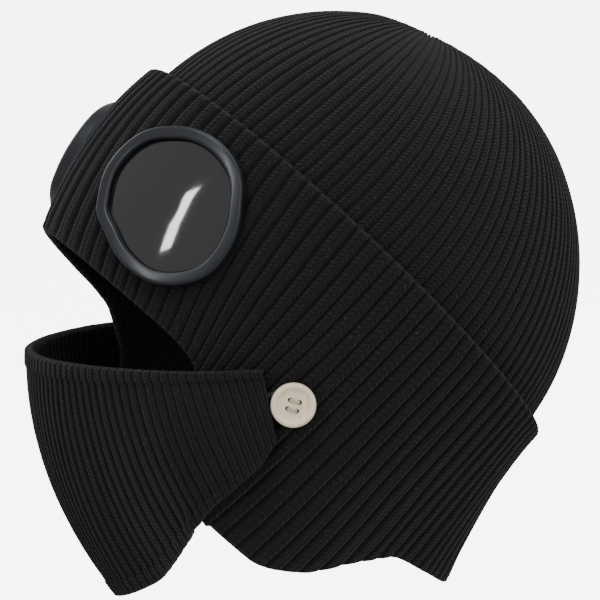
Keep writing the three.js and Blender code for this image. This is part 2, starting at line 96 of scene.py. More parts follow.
# Face mask
MASK_WALL = 4 * MM
MASK_DEPTH = 92 * MM
MASK_HEIGHT = 104 * MM
MASK_BUTTON_REACH = 14.3 * MM
MASK_BUTTON_RISE = 9 * MM
MASK_END_ANGLE = math.radians(72)
MASK_NOSE_POWER = 1.3
MASK_BULGE = 10 * MM
MASK_BULGE_END = 1 * MM
MASK_SLANT = 0.04
MASK_BAND_RELIEF = 0.9 * MM
MASK_BAND_HEIGHT = 6 * MM
MASK_EDGE_ROUND = 1.4 * MM
MASK_REST_GAP = 1.1 * MM
MASK_EASE_START = 0.45
MASK_EASE_HEM = 0.02
MASK_EASE_FADE = 0.08
MASK_SETTLE_START = 0.7

# Goggles
GOGGLE_HALF_SIZE = 32.5 * MM
GOGGLE_RIM_WIDTH = 5.5 * MM
GOGGLE_RIM_HEIGHT = 6 * MM
GOGGLE_CURVE_RADIUS = 105 * MM
GOGGLE_ANGLE = 34
GOGGLE_SHARE = 0.53
GOGGLE_SHIFT = (1.4 * MM, -1.8 * MM)
RIM_EDGE_ROUND = 1.5 * MM
LENS_RECESS = 2.6 * MM
LENS_THICKNESS = 2 * MM
LENS_DOME = 1.6 * MM
LENS_RINGS = [step * MM for step in (0.3, 1.2, 3, 4, 5, 5, 4)]
PART_GAP = 0.3 * MM
LENS_RADIUS = GOGGLE_HALF_SIZE - GOGGLE_RIM_WIDTH - PART_GAP

# Buttons and thread
BUTTON_DIAMETER = 18 * MM
BUTTON_THICKNESS = 3.6 * MM
BUTTON_RING_SHARE = 0.82
BUTTON_DISH_SHARE = 0.66
BUTTON_DISH_DEPTH = 1 * MM
BUTTON_EDGE_ROUND = 1.15 * MM
BUTTON_RING_ROUND = 0.5 * MM
BUTTON_HOLE_DIAMETER = 2.1 * MM
BUTTON_HOLE_RING = 2.56 * MM
BUTTON_TURN = math.radians(17)
BUTTON_ANGLE = 87.5
BUTTON_SHARE = 0.58
STRAND_RADIUS = 0.36 * MM
STRAND_TWIST = 900.0
SHANK_STRAND_RADIUS = 0.42 * MM
SHANK_RADIUS = 1.3 * MM
SHANK_STRANDS = 3
SHANK_TURNS = 1.5
LOOP_CORD_DIAMETER = 1.8 * MM
LOOP_HALF_LENGTH = 8.5 * MM
LOOP_HALF_WIDTH = 4.8 * MM
LOOP_SHIFT = 2.6 * MM
LOOP_TWIST = 300.0

# Studio
AIM = (0, -0.014, -0.1185)
WORLD_STRENGTH = 0.6
FLOOR_RADIUS = 9
FLOOR_GLOW = 6.0
# Soft lamps: place, width, height and share of the light power
LAMPS = {
    "key": ((0.7, -0.7, 1.8), 1.1, 1.1, 1.5),
    "strip": ((0.86, -1.0, 0.36), 0.12, 0.4, 0.25),
    "side": ((1.6, 0.5, 0.5), 0.9, 1.2, 0.55),
    "back": ((-0.8, 1.3, 1.0), 1.2, 0.9, 0.8),
    "far": ((-1.4, -0.9, 0.7), 1.0, 1.0, 0.5),
}

# Points round one rib of the knit, on the outer face and on the inner one
FINE, ROUGH = 8, 4

# The hem of the cuff, by the angle of each rib at the fold: shares of the flap drop, degrees
# of lean, and shares of the cheek tuck, the nape flare and the brow bow
HEM_COLUMNS = ("angle", "flap", "lean", "tuck", "flare", "bow")
HEM_ROWS = (
    (0, 0, 0, 0.45, 0, 1),
    (15, 0, 6, 0.6, 0, 1),
    (30, 0, 9, 0.7, 0, 0.6),
    (45, 0, 9, 0.7, 0, 0),
    (55, 0.02, 8, 0.75, 0, 0),
    (65, 0.12, 5, 0.9, 0, 0),
    (75, 0.26, 2, 1, 0, 0),
    (85, 0.6, -1, 1.1, 0, 0),
    (95, 0.84, 0, 1, 0, 0),
    (105, 0.83, 3, 0.8, 0, 0),
    (115, 0.68, 5, 0.6, 0, 0),
    (125, 0.36, 6, 0.35, 0, 0),
    (135, 0.16, 5, 0.15, 0, 0),
    (150, 0.08, 3, 0, 0.3, 0),
    (165, 0.03, 1, 0, 0.76, 0),
    (180, 0, 0, 0, 1, 0),
)

# The lower edge of the face mask from chin to end: shares of the half width, of the depth
# behind the nose and of the height
MASK_COLUMNS = ("across", "side", "back", "fall")
MASK_HEM_ROWS = (
    (0, 0, 0.38, 1),
    (0.2, 0.12, 0.4, 0.97),
    (0.36, 0.3, 0.5, 0.88),
    (0.48, 0.57, 0.52, 0.72),
    (0.61, 0.81, 0.55, 0.55),
    (0.75, 0.9, 0.665, 0.43),
    (0.9, 0.955, 0.78, 0.33),
    (1, 0.98, 0.835, 0.25),
)

# The rim's outline: its radius as a share of the half size, by the angle from the outer side
GOGGLE_COLUMNS = ("angle", "radius")
GOGGLE_ROWS = (
    (-180, 0.95), (-150, 0.86), (-120, 0.9), (-90, 0.985), (-60, 1.01), (-30, 0.965),
    (0, 0.945), (30, 1.005), (60, 1), (90, 0.99), (120, 1.03), (150, 1.01), (180, 0.95),
)


def vector(x, y, z):
    return np.array([x, y, z], float)


def level(turn, column, rows, names):
    """Smooth value of one column of a table; its slope at a row never overshoots."""
    keys = np.array([row[0] for row in rows], float)
    values = np.array([row[names.index(column)] for row in rows], float)
    span = np.diff(keys)
    rise = np.diff(values) / span
    slope = np.zeros(len(keys))
    same = rise[:-1] * rise[1:] > 0
    slope[1:-1][same] = 2 * rise[:-1][same] * rise[1:][same] / (rise[:-1] + rise[1:])[same]
    row = np.clip(np.searchsorted(keys, turn) - 1, 0, len(span) - 1)
    t = np.clip((turn - keys[row]) / span[row], 0, 1)
    start = values[row] * (1 + 2 * t) + slope[row] * span[row] * t
    end = values[row + 1] * (3 - 2 * t) + slope[row + 1] * span[row] * (t - 1)
    return start * (1 - t) ** 2 + end * t * t


def hem_value(turn, column):
    return level(turn, column, HEM_ROWS, HEM_COLUMNS)


def smoothstep(value, low, high):
    t = np.clip((value - low) / (high - low), 0, 1)
    return t * t * (3 - 2 * t)


def unit(v):
    return v / np.linalg.norm(v, axis=-1, keepdims=True)


FOLD_TURN = math.radians(FOLD_TILT)
FOLD_AXIS = vector(0, math.sin(FOLD_TURN), math.cos(FOLD_TURN))
FOLD_FRONT = vector(0, -math.cos(FOLD_TURN), math.sin(FOLD_TURN))
ACROSS_HEAD = vector(1, 0, 0)
HEAD_CENTRE = vector(0, 0, CROWN_WALL - CROWN_HEIGHT)
HEAD_SIZE = vector(HEAD_HALF_WIDTH, HEAD_HALF_LENGTH, CROWN_HEIGHT)
CUFF_INSIDE = CROWN_RIB_RELIEF + LAYER_GAP
CUFF_OUTSIDE = CUFF_INSIDE + CUFF_WALL
CUFF_CREST = CUFF_OUTSIDE + CUFF_RIB_RELIEF


def ring_direction(angle):
    """Unit direction of a point of the fold ring; angle 0 is the front, 90 degrees the left."""
    rise = FOLD_RISE / CROWN_HEIGHT
    reach = math.sqrt(1 - rise * rise)
    angle = np.asarray(angle)[..., None]
    return rise * FOLD_AXIS + reach * (np.cos(angle) * FOLD_FRONT + np.sin(angle) * ACROSS_HEAD)


def rib_angle(share):
    """Angle of an evenly spaced rib, given as a share of the turn."""
    turn = 2 * math.pi * share
    stretch = (HEAD_HALF_LENGTH - HEAD_HALF_WIDTH) / (HEAD_HALF_LENGTH + HEAD_HALF_WIDTH)
    return turn + stretch / 2 * np.sin(2 * turn)


def crown_point(angle, share, lift):
    """Point of the crown, share 0 at the gather line, 1 at the fold."""
    gather = APEX_TILT - GATHER_HALF_ANGLE * np.cos(angle)
    tilt = np.radians(gather + (FLOW_TILT - gather) * np.minimum(share, 1))
    aim = np.stack([0 * tilt, np.sin(tilt), np.cos(tilt)], -1)
    ring = ring_direction(angle)
    turn = np.arccos(np.clip((aim * ring).sum(-1), -1, 1))
    direction = (
        aim * (np.sin((1 - share) * turn) / np.sin(turn))[..., None]
        + ring * (np.sin(share * turn) / np.sin(turn))[..., None]
    )
    dip = GATHER_DIP * np.exp(-((share / GATHER_WIDTH) ** 2))
    return direction * HEAD_SIZE + direction * (lift - dip)[..., None] + HEAD_CENTRE


def cuff_drop(rib):
    """How far a rib of the cuff falls from the fold to the hem."""
    short = np.where(rib < FLAP_ANGLE, BROW_DROP, NAPE_DROP)
    return short + (FLAP_DROP - short) * hem_value(rib, "flap")


def cuff_point(angle, share, lift, over=0.0):
    """Point of the cuff, share 0 at the fold and 1 at the hem; over is how far past the hem."""
    turn = (angle + math.pi) % (2 * math.pi) - math.pi
    side = np.where(turn < 0, -1, 1)
    rib = np.abs(np.degrees(turn))
    leant = np.radians(rib + hem_value(rib, "lean") * np.abs(share) ** LEAN_POWER)
    outset = NAPE_FLARE * hem_value(rib, "flare") - CHEEK_TUCK * hem_value(rib, "tuck")
    bow = BROW_BOW * hem_value(rib, "bow") * 4 * share * (1 - share)
    ring = ring_direction(leant)
    outward = unit(
        FOLD_FRONT * (np.cos(leant) * HEAD_HALF_WIDTH)[..., None]
        + ACROSS_HEAD * (np.sin(leant) * HEAD_HALF_LENGTH)[..., None]
    )
    out = outset * np.abs(share) ** OUTSET_POWER + bow
    fall = cuff_drop(rib) * share + over
    point = ring * HEAD_SIZE + ring * np.asarray(lift)[..., None] + outward * out[..., None]
    point = point - FOLD_AXIS * fall[..., None] + HEAD_CENTRE
    point[..., 0] *= side
    return point


def reach_cuff(start, direction, angle, share):
    """How far along each line the crests of the cuff lie, and at which share of its drop."""
    found = np.stack([angle + 0 * share, share + 0 * angle, 0 * (angle + share)], -1)
    step = 1e-4
    limit = vector(0.4, 0.4, HEAD_HALF_LENGTH)
    for _ in range(16):
        here = cuff_point(found[..., 0], found[..., 1], CUFF_CREST)
        by_angle = (cuff_point(found[..., 0] + step, found[..., 1], CUFF_CREST) - here) / step
        by_share = (cuff_point(found[..., 0], found[..., 1] + step, CUFF_CREST) - here) / step
        miss = start + direction * found[..., 2:] - here
        slopes = np.stack([by_angle, by_share, -direction], -1)
        move = np.linalg.solve(slopes, miss[..., None])[..., 0]
        found = found + np.clip(move, -limit, limit)
        found[..., 1] = np.clip(found[..., 1], -1, 2)
    missed = np.linalg.norm(miss, axis=-1) > 1e-5
    return np.where(missed, -1.0, found[..., 2]), np.where(missed, 9.0, found[..., 1])


class CuffFrame:
    """A frame standing on the cuff: seat, outward normal, level side, up, and round the head."""

    def __init__(self, angle, share, shift=(0, 0)):
        self.turn, self.share, step = math.radians(angle), share, 1e-3
        place = lambda turn, s: cuff_point(np.array(turn), np.array(s), CUFF_CREST)
        seat = place(self.turn, share)
        self.round = unit(place(self.turn + step, share) - seat)
        self.normal = unit(np.cross(place(self.turn, share + step) - seat, self.round))
        self.side = unit(vector(-self.normal[1], self.normal[0], 0))
        self.up = np.cross(self.normal, self.side)
        self.seat = seat + self.side * shift[0] + self.up * shift[1]

    def place(self, p, q, height):
        p, q, height = (np.asarray(v, float)[..., None] for v in (p, q, height))
        return self.seat + self.side * p + self.up * q + self.normal * height

    def ground(self, p, q):
        """Height of the cuff's crests under each place."""
        start = self.place(p, q, 0 * p)
        direction = np.broadcast_to(self.normal, start.shape)
        return reach_cuff(start, direction, self.turn + 0 * p, self.share + 0 * p)[0]


BUTTON_FRAME = CuffFrame(BUTTON_ANGLE, BUTTON_SHARE)
BUTTON_BACK = LOOP_CORD_DIAMETER + 2 * PART_GAP
GOGGLE_FRAME = CuffFrame(GOGGLE_ANGLE, GOGGLE_SHARE, GOGGLE_SHIFT)

MASK_HALF_WIDTH = (BUTTON_FRAME.seat[0] + MASK_WALL + MASK_REST_GAP) / math.sin(MASK_END_ANGLE)
MASK_SIDE_BACK = (
    MASK_BUTTON_REACH - BUTTON_FRAME.seat[1]
    - MASK_DEPTH * math.cos(MASK_END_ANGLE) ** MASK_NOSE_POWER
)
MASK_TOP_DROP = -MASK_BUTTON_RISE - BUTTON_FRAME.seat[2]


def mask_outward(across):
    bend = MASK_END_ANGLE * across
    return np.stack([np.sin(bend), -np.cos(bend), 0 * bend], -1)


def mask_form(across, down):
    """Outer face of the mask before it is eased over the cuff."""
    reach = np.abs(across)
    bend = MASK_END_ANGLE * reach
    value = lambda column: level(reach, column, MASK_HEM_ROWS, MASK_COLUMNS)
    top = np.stack([
        MASK_HALF_WIDTH * np.sin(bend),
        -MASK_SIDE_BACK - MASK_DEPTH * np.cos(bend) ** MASK_NOSE_POWER,
        -MASK_TOP_DROP + 0 * bend,
    ], -1)
    low = np.stack([
        MASK_HALF_WIDTH * value("side"),
        -MASK_SIDE_BACK - MASK_DEPTH * (1 - value("back")),
        -MASK_TOP_DROP - MASK_HEIGHT * value("fall"),
    ], -1)
    bulge = MASK_BULGE_END + (MASK_BULGE - MASK_BULGE_END) * (1 - reach ** 1.5)
    down = np.asarray(down)[..., None]
    point = top * (1 - down) + low * down
    point = point + mask_outward(reach) * (bulge[..., None] * 4 * down * (1 - down))
    point[..., 0] *= np.where(across < 0, -1, 1)
    point[..., 2] += MASK_SLANT * point[..., 0]
    return point


def mask_ease(across, down):
    """How far each point of the mask moves out so that its inner face rests over the cuff."""
    outward = mask_outward(across)
    inner = mask_form(across, down) - outward * MASK_WALL
    guess = np.sign(across) * math.radians(BUTTON_ANGLE)
    distance, share = reach_cuff(inner, outward, guess, BUTTON_SHARE + 0 * across)
    hem = 1 + MASK_EASE_HEM
    kept = 1 - smoothstep(share, hem, hem + MASK_EASE_FADE)
    settled = smoothstep(np.abs(across), MASK_SETTLE_START, 1)
    ease = distance + MASK_REST_GAP
    ease = np.where(ease > 0, ease, ease * settled) * kept
    return np.where(np.abs(across) < MASK_EASE_START, 0, ease)


class Value:
    """A socket of a material. Arithmetic on it adds Math nodes."""

    def __init__(self, finish, socket):
        self.finish = finish
        self.socket = socket

    def maths(self, operation, *inputs):
        return self.finish.add("ShaderNodeMath", {"operation": operation}, inputs)

    def __add__(self, other):
        return self.maths("ADD", self, other)

    __radd__ = __add__

    def __sub__(self, other):
        return self.maths("SUBTRACT", self, other)

    def __rsub__(self, other):
        return self.maths("SUBTRACT", other, self)

    def __mul__(self, other):
        return self.maths("MULTIPLY", self, other)

    __rmul__ = __mul__

    def __truediv__(self, other):
        return self.maths("DIVIDE", self, other)

    def fraction(self):
        return self.maths("FRACT", self)

    def size(self):
        return self.maths("ABSOLUTE", self)

    def power(self, exponent):
        return self.maths("POWER", self, exponent)

    def sine(self):
        return self.maths("SINE", self)

    def least(self, other):
        return self.maths("MINIMUM", self, other)

    def most(self, other):
        return self.maths("MAXIMUM", self, other)

    def fade(self, low, high):
        """0 below low and 1 above high, with a soft step between."""
        settings = {"interpolation_type": "SMOOTHSTEP"}
        return self.finish.add("ShaderNodeMapRange", settings, {0: self, 1: low, 2: high})


class Finish:
    """One material while it is made."""

    def __init__(self, name):
        self.material = bpy.data.materials.new(name)
        self.material.use_nodes = True
        self.tree = self.material.node_tree
        self.tree.nodes.clear()

    def add(self, kind, settings=None, inputs=(), output=0):
        """Adds a node: first its settings, then the values or links of its sockets."""
        node = self.tree.nodes.new(kind)
        for key, value in (settings or {}).items():
            if key == "stops":
                self.set_stops(node.color_ramp.elements, value)
            else:
                setattr(node, key, value)
        pairs = inputs.items() if isinstance(inputs, dict) else enumerate(inputs)
        for key, value in pairs:
            if isinstance(value, Value):
                self.tree.links.new(value.socket, node.inputs[key])
            else:
                node.inputs[key].default_value = value
        return Value(self, node.outputs[output]) if node.outputs else None

    def set_stops(self, elements, stops):
        while len(elements) < len(stops):
            elements.new(1)
        for element, (place, colour) in zip(elements, stops):
            element.position = place
            element.color = colour

    def place(self):
        return self.add("ShaderNodeTexCoord", output="Object")

    def noise(self, place, scale, detail=2.0, rough=0.5, distort=0.0):
        inputs = {
            "Vector": place, "Scale": scale, "Detail": detail, "Roughness": rough,
            "Distortion": distort,
        }
        return self.add("ShaderNodeTexNoise", None, inputs)

    def blend(self, factor, first, second):
        """Mixes two colours."""
        inputs = {0: factor, 6: paint(first), 7: paint(second)}
        return self.add("ShaderNodeMix", {"data_type": "RGBA"}, inputs, 2)

    def stretch(self, place, scale, turn=(0, 0, 0)):
        inputs = {"Vector": place, "Scale": scale, "Rotation": turn}
        return self.add("ShaderNodeMapping", None, inputs)

    def relief(self, height, distance, strength=1.0):
        inputs = {"Height": height, "Distance": distance, "Strength": strength}
        return self.add("ShaderNodeBump", None, inputs)

    def shade(self, inputs):
        shader = self.add("ShaderNodeBsdfPrincipled", None, inputs)
        self.add("ShaderNodeOutputMaterial", None, {"Surface": shader})
        return self.material


def paint(colour):
    """A colour with its alpha, or the socket that gives one."""
    return colour if isinstance(colour, Value) else (*colour[:3], 1.0)


def knit_finish(name, looks, stitch_height, stitch_share=1.0):
    """Ribbed wool: slanted stitch legs along each rib with a painted highlight, fibres, painted
    shade in the valleys, and pale specks that are partly lint and partly painted highlight.
    """
    knit = Finish(name)
    uv = knit.add("ShaderNodeUVMap", {"uv_map": "knit"})
    split = knit.add("ShaderNodeSeparateXYZ", None, [uv])
    across = split
    along = Value(knit, split.socket.node.outputs[1])
    here = knit.place()
    wander = knit.noise(here, 90.0, 2.0)
    ragged = knit.noise(here, 700.0, 3.0, 0.65)
    off = (across + 0.5 + (wander - 0.5) * 0.14).fraction() - 0.5
    reach = off.size()
    row = along + wander * 0.8
    leg = (row + reach * -1.5).fraction() - 0.5
    leg_height = 1 - (leg * 2).power(2.0)
    strand = (1 - ((reach - 0.2) / 0.22).power(2.0)).most(0.0)
    ply = ((row * 2 + reach * 3.2) * (2 * math.pi)).sine() * 0.5 + 0.5
    stitch = leg_height * strand * stitch_share
    fibre = knit.noise(here, 1500.0, 2.0, 0.7)
    height = stitch * 0.62 + ply * strand * 0.12 + ragged * 0.35 + fibre * 0.2
    # Painted shade: the valleys between the ribs are coloured darker.
    valley = reach.fade(0.3, 0.47)
    # Pale specks: partly real lint, partly painted highlight on loose fibres that catch the light.
    lint = (ragged * 0.55 + fibre * 0.45).fade(looks.lint_and_glint_start, looks.lint_and_glint_start + 0.1)
    tone = knit.blend(valley, looks.knit_colour, looks.valley_shade_colour)
    # Painted highlight: the raised stitch legs are coloured lighter.
    tone = knit.blend(stitch * 0.55, tone, looks.leg_highlight_colour)
    # The pale specks fade where the valleys carry painted shade.
    tone = knit.blend(lint * (1 - valley * 0.7), tone, looks.lint_and_glint_colour)
    return knit.shade({
        "Base Color": tone,
        "Roughness": 0.92,
        "Specular IOR Level": 0.25,
        "Sheen Weight": looks.sheen,
        "Sheen Roughness": 0.45,
        "Sheen Tint": (0.75, 0.8, 0.9, 1.0),
        "Normal": knit.relief(height, stitch_height * 0.5, 1.0),
    })


def rim_finish(looks):
    """Satin gunmetal, brushed a little and with small scuffs."""
    metal = Finish("satin gunmetal")
    here = metal.place()
    grain = metal.noise(here, 1100.0, 3.0, 0.6)
    cloud = metal.noise(here, 60.0, 2.0)
    scuff = metal.noise(metal.stretch(here, (1.0, 1.0, 6.0)), 160.0, 4.0, 0.7).fade(0.6, 0.72)
    tone = metal.blend(cloud, looks.rim_dark, looks.rim_colour)
    return metal.shade({
        "Base Color": tone,
        "Metallic": 0.75,
        "Roughness": 0.34 + cloud * 0.1 + scuff * 0.08 + grain * 0.04,
        "Coat Weight": 0.25,
        "Coat Roughness": 0.2,
        "Normal": metal.relief(grain * 0.5 + scuff * 0.2, 0.00006, 0.5),
    })


def lens_finish(looks):
    """Smoked lens: near black and glossy, with a trace of haze and dust."""
    glass = Finish("smoked lens")
    here = glass.place()
    haze = glass.noise(here, 35.0, 2.0)
    dust = glass.noise(here, 1300.0, 2.0, 0.7).fade(0.7, 0.78)
    tone = glass.blend(dust * 0.35, looks.lens_colour, (0.12, 0.13, 0.14))
    return glass.shade({
        "Base Color": tone,
        "Roughness": 0.05 + haze * 0.06 + dust * 0.15,
        "IOR": 1.58,
        "Coat Weight": 0.6,
        "Coat Roughness": 0.04,
    })


def button_finish(looks):
    """Pale turned wood under a satin lacquer."""
    wood = Finish("pale turned wood")
    here = wood.place()
    grain = wood.noise(wood.stretch(here, (1.0, 1.0, 0.14), (0.5, 0, 0)), 900.0, 4.0, 0.6, 0.6)
    band = wood.noise(wood.stretch(here, (1.0, 1.0, 0.1), (0.5, 0, 0)), 260.0, 2.0, 0.5, 1.2)
    pore = grain.fade(0.6, 0.72)
    tone = wood.blend(band.fade(0.35, 0.7), looks.wood_pale, looks.wood_warm)
    tone = wood.blend(pore * 0.35, tone, looks.wood_pore)
    return wood.shade({
        "Base Color": tone,
        "Roughness": 0.36 + grain * 0.16,
        "Specular IOR Level": 0.4,
        "Coat Weight": 0.15,
        "Coat Roughness": 0.25,
        "Normal": wood.relief(grain, 0.00005, 0.5),
    })


def thread_finish(name, colour, groove_shade, turns):
    """Twisted strand: plies wound round the length of the thread, with painted shade in the
    grooves between them, and loose fibres.
    """
    strand = Finish(name)
    uv = strand.add("ShaderNodeUVMap", {"uv_map": "knit"})
    split = strand.add("ShaderNodeSeparateXYZ", None, [uv])
    along = Value(strand, split.socket.node.outputs[1])
    twist = ((split * 3 + along * turns) * (2 * math.pi)).sine() * 0.5 + 0.5
    fibre = strand.noise(strand.place(), 2600.0, 2.0, 0.7)
    # Painted shade: a darker copy of the thread colour fills the grooves between the plies; fibre
    # noise adds random tone.
    tone = strand.blend(twist * 0.6 + fibre * 0.4, groove_shade, colour)
    return strand.shade({
        "Base Color": tone,
        "Roughness": 0.85,
        "Sheen Weight": 0.2,
        "Normal": strand.relief(twist + fibre * 0.5, 0.0002, 0.8),
    })


def floor_finish(looks):
    """Pale, matt studio floor with the faintest mottling."""
    paper = Finish("studio floor")
    mottle = paper.noise(paper.place(), 3.0, 3.0)
    tone = paper.blend(mottle * 0.5, looks.floor_colour, [c * 0.985 for c in looks.floor_colour])
    return paper.shade({
        "Base Color": tone,
        "Roughness": 0.95,
        "Specular IOR Level": 0.1,
        "Emission Color": (1.0, 1.0, 1.0, 1.0),
        "Emission Strength": FLOOR_GLOW,
    })


def wander(ribs, across, along, seed):
    """Slow, seeded unevenness from rib to rib and along each; it closes round the ring."""
    random = np.random.default_rng(seed)
    total = 0
    for low, high, weight in ((0.02, 0.06, 0.5), (0.12, 0.3, 0.3), (0.3, 0.46, 0.3)):
        for _ in range(3):
            turns = max(1, round(ribs * random.uniform(low, high)))
            phase, drift = random.uniform(0, 2 * math.pi), random.uniform(-9, 9)
            total = total + weight / 1.7 * np.sin(
                2 * math.pi * turns * across / ribs + phase + drift * along
            )
    return total


def rib_ridge(across):
    """Height of a rib, from 1 on its rounded ridge to -1 in its narrow valley."""
    return 2 * np.abs(np.cos(math.pi * across)) ** 0.6 - 1


def add_mesh(name, points, faces, corners=None):
    """A piece from points and faces, with the knit's own map where corners are given."""
    mesh = bpy.data.meshes.new(name)
    mesh.from_pydata(points.tolist() if hasattr(points, "tolist") else points, [], faces)
    if corners is not None:
        layer = mesh.uv_layers.new(name="knit")
        layer.data.foreach_set("uv", np.asarray(corners, np.float32).ravel())
    mesh.shade_smooth()
    mesh.validate()
    piece = bpy.data.objects.new(name, mesh)
    bpy.context.scene.collection.objects.link(piece)
    return piece


def ring_faces(first, second, first_map, second_map, closed):
    """Faces between two rows of points. The first may have a whole number more points."""
    faces, corners = [], []
    steps = len(second) if closed else len(second) - 1
    ratio = (len(first) if closed else len(first) - 1) // steps
    for i in range(steps):
        fine = [i * ratio + k for k in range(ratio + 1)]
        coarse = [i + 1, i]
        loop = [first[k % len(first)] for k in fine] + [second[k % len(second)] for k in coarse]
        place = [first_map(k) for k in fine] + [second_map(k) for k in coarse]
        kept = [n for n in range(len(loop)) if loop[n] != loop[n - 1]]
        if len(kept) > 2:
            faces.append([loop[n] for n in kept])
            corners.extend(place[n] for n in kept)
    return faces, corners


class KnitSheet:
    """A closed knitted wall, laid row by row from the outer face round to the inner one."""

    def __init__(self, ribs, closed):
        self.ribs = ribs
        self.closed = closed
        self.points = []
        self.rows = []

    def add_row(self, points, stitch):
        start = sum(len(p) for p in self.points)
        self.points.append(points)
        self.rows.append((list(range(start, start + len(points))), stitch))

    def close_slit(self, row):
        """Joins the two halves of a row that lies folded on itself."""
        index, stitch = self.rows[row]
        count = len(index)
        self.rows[row] = ([index[min(k, count - k)] for k in range(count)], stitch)

    def build(self, name, loop):
        faces, corners = [], []
        pairs = list(zip(self.rows, self.rows[1:] + self.rows[:1]))
        for (upper, v0), (lower, v1) in pairs if loop else pairs[:-1]:
            wide, narrow = (upper, lower) if len(upper) >= len(lower) else (lower, upper)
            v_wide, v_narrow = (v0, v1) if wide is upper else (v1, v0)
            around = lambda row: len(row) if self.closed else len(row) - 1
            faces_here, corners_here = ring_faces(
                wide, narrow,
                lambda k: (k * self.ribs / around(wide), v_wide),
                lambda k: (k * self.ribs / around(narrow), v_narrow),
                self.closed,
            )
            if wide is not upper:
                start = 0
                for n, face in enumerate(faces_here):
                    end = start + len(face)
                    corners_here[start:end] = corners_here[start:end][::-1]
                    faces_here[n] = face[::-1]
                    start = end
            faces.extend(faces_here)
            corners.extend(corners_here)
        points = np.concatenate(self.points)
        used = sorted({k for face in faces for k in face})
        renamed = {k: n for n, k in enumerate(used)}
        faces = [[renamed[k] for k in face] for face in faces]
        return add_mesh(name, points[used], faces, corners)


def tidy_normals(piece):
    """Turns every face outward and shades it smooth."""
    work = bmesh.new()
    work.from_mesh(piece.data)
    bmesh.ops.recalc_face_normals(work, faces=work.faces)
    work.to_mesh(piece.data)
    work.free()
    piece.data.shade_smooth()
    return piece


def clear_selection():
    if bpy.context.object and bpy.context.object.mode != "OBJECT":
        bpy.ops.object.mode_set(mode="OBJECT")
    bpy.ops.object.select_all(action="DESELECT")


def edit(piece):
    clear_selection()
    bpy.context.view_layer.objects.active = piece
    piece.select_set(True)
    bpy.ops.object.mode_set(mode="EDIT")
    bpy.ops.mesh.select_all(action="DESELECT")
    return bmesh.from_edit_mesh(piece.data)


def pick(work, piece, kind, wanted):
    """Selects the faces or edges that answer to a test, and nothing else."""
    bpy.ops.mesh.select_all(action="DESELECT")
    bpy.ops.mesh.select_mode(type=kind)
    for item in work.faces if kind == "FACE" else work.edges:
        item.select = wanted(item)
    work.select_flush_mode()
    bmesh.update_edit_mesh(piece.data)


def apply_modifiers(piece):
    clear_selection()
    bpy.context.view_layer.objects.active = piece
    piece.select_set(True)
    for modifier in list(piece.modifiers):
        bpy.ops.object.modifier_apply(modifier=modifier.name)


def finish_piece(piece, material, node):
    """Gives a piece its material and its body, and hides the frame node that it stands for."""
    piece.data.materials.clear()
    piece.data.materials.append(material)
    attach(piece, "root")
    if node:
        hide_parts(node)


def mirror_copy(piece, name):
    """The same piece on the other side of the head, with a mesh of its own."""
    copy = piece.copy()
    copy.data = piece.data.copy()
    copy.name = name
    bpy.context.scene.collection.objects.link(copy)
    copy.data.transform(Matrix.Diagonal((-1, 1, 1, 1)))
    copy.data.flip_normals()
    return copy


def move_points(piece, place):
    """Moves every vertex of a piece by a function of its x, y and z."""
    count = len(piece.data.vertices)
    flat = np.empty(count * 3, np.float64)
    piece.data.vertices.foreach_get("co", flat)
    moved = place(*flat.reshape(count, 3).T)
    piece.data.vertices.foreach_set("co", np.asarray(moved, np.float32).ravel())
    piece.data.update()


def goggle_radius(turn):
    """Radius of the rim's outline; turn is in radians from the outer side."""
    return GOGGLE_HALF_SIZE * level(np.degrees(turn), "radius", GOGGLE_ROWS, GOGGLE_COLUMNS)


def goggle_curve(p, q):
    """How far the goggle falls back round the head at each place."""
    along = (
        p * (GOGGLE_FRAME.side @ GOGGLE_FRAME.round) + q * (GOGGLE_FRAME.up @ GOGGLE_FRAME.round)
    )
    return along ** 2 / (2 * GOGGLE_CURVE_RADIUS)


def place_rim(x, y, height):
    """Carries the flat round rim onto the brow: the circle takes the goggle's outline."""
    turn = np.arctan2(y, x)
    reach = np.maximum(goggle_radius(turn) + np.hypot(x, y) - GOGGLE_HALF_SIZE, 0)
    p, q = reach * np.cos(turn), reach * np.sin(turn)
    seat = GOGGLE_FRAME.ground(p, q) + PART_GAP
    share = np.clip(height / GOGGLE_RIM_HEIGHT, 0, 1)
    top = height - goggle_curve(p, q)
    return GOGGLE_FRAME.place(p, q, seat * (1 - share) + top * share)


def place_lens(x, y, height):
    """Carries the flat round lens into its rim and domes its front."""
    turn = np.arctan2(y, x)
    share = np.hypot(x, y) / LENS_RADIUS
    face = GOGGLE_RIM_HEIGHT - LENS_RECESS
    front = face + LENS_DOME * (1 - share ** 2)
    level_height = np.where(height > LENS_THICKNESS / 2, front, face - LENS_THICKNESS)
    reach = share * (goggle_radius(turn) - GOGGLE_RIM_WIDTH - PART_GAP)
    p, q = reach * np.cos(turn), reach * np.sin(turn)
    return GOGGLE_FRAME.place(p, q, level_height - goggle_curve(p, q))


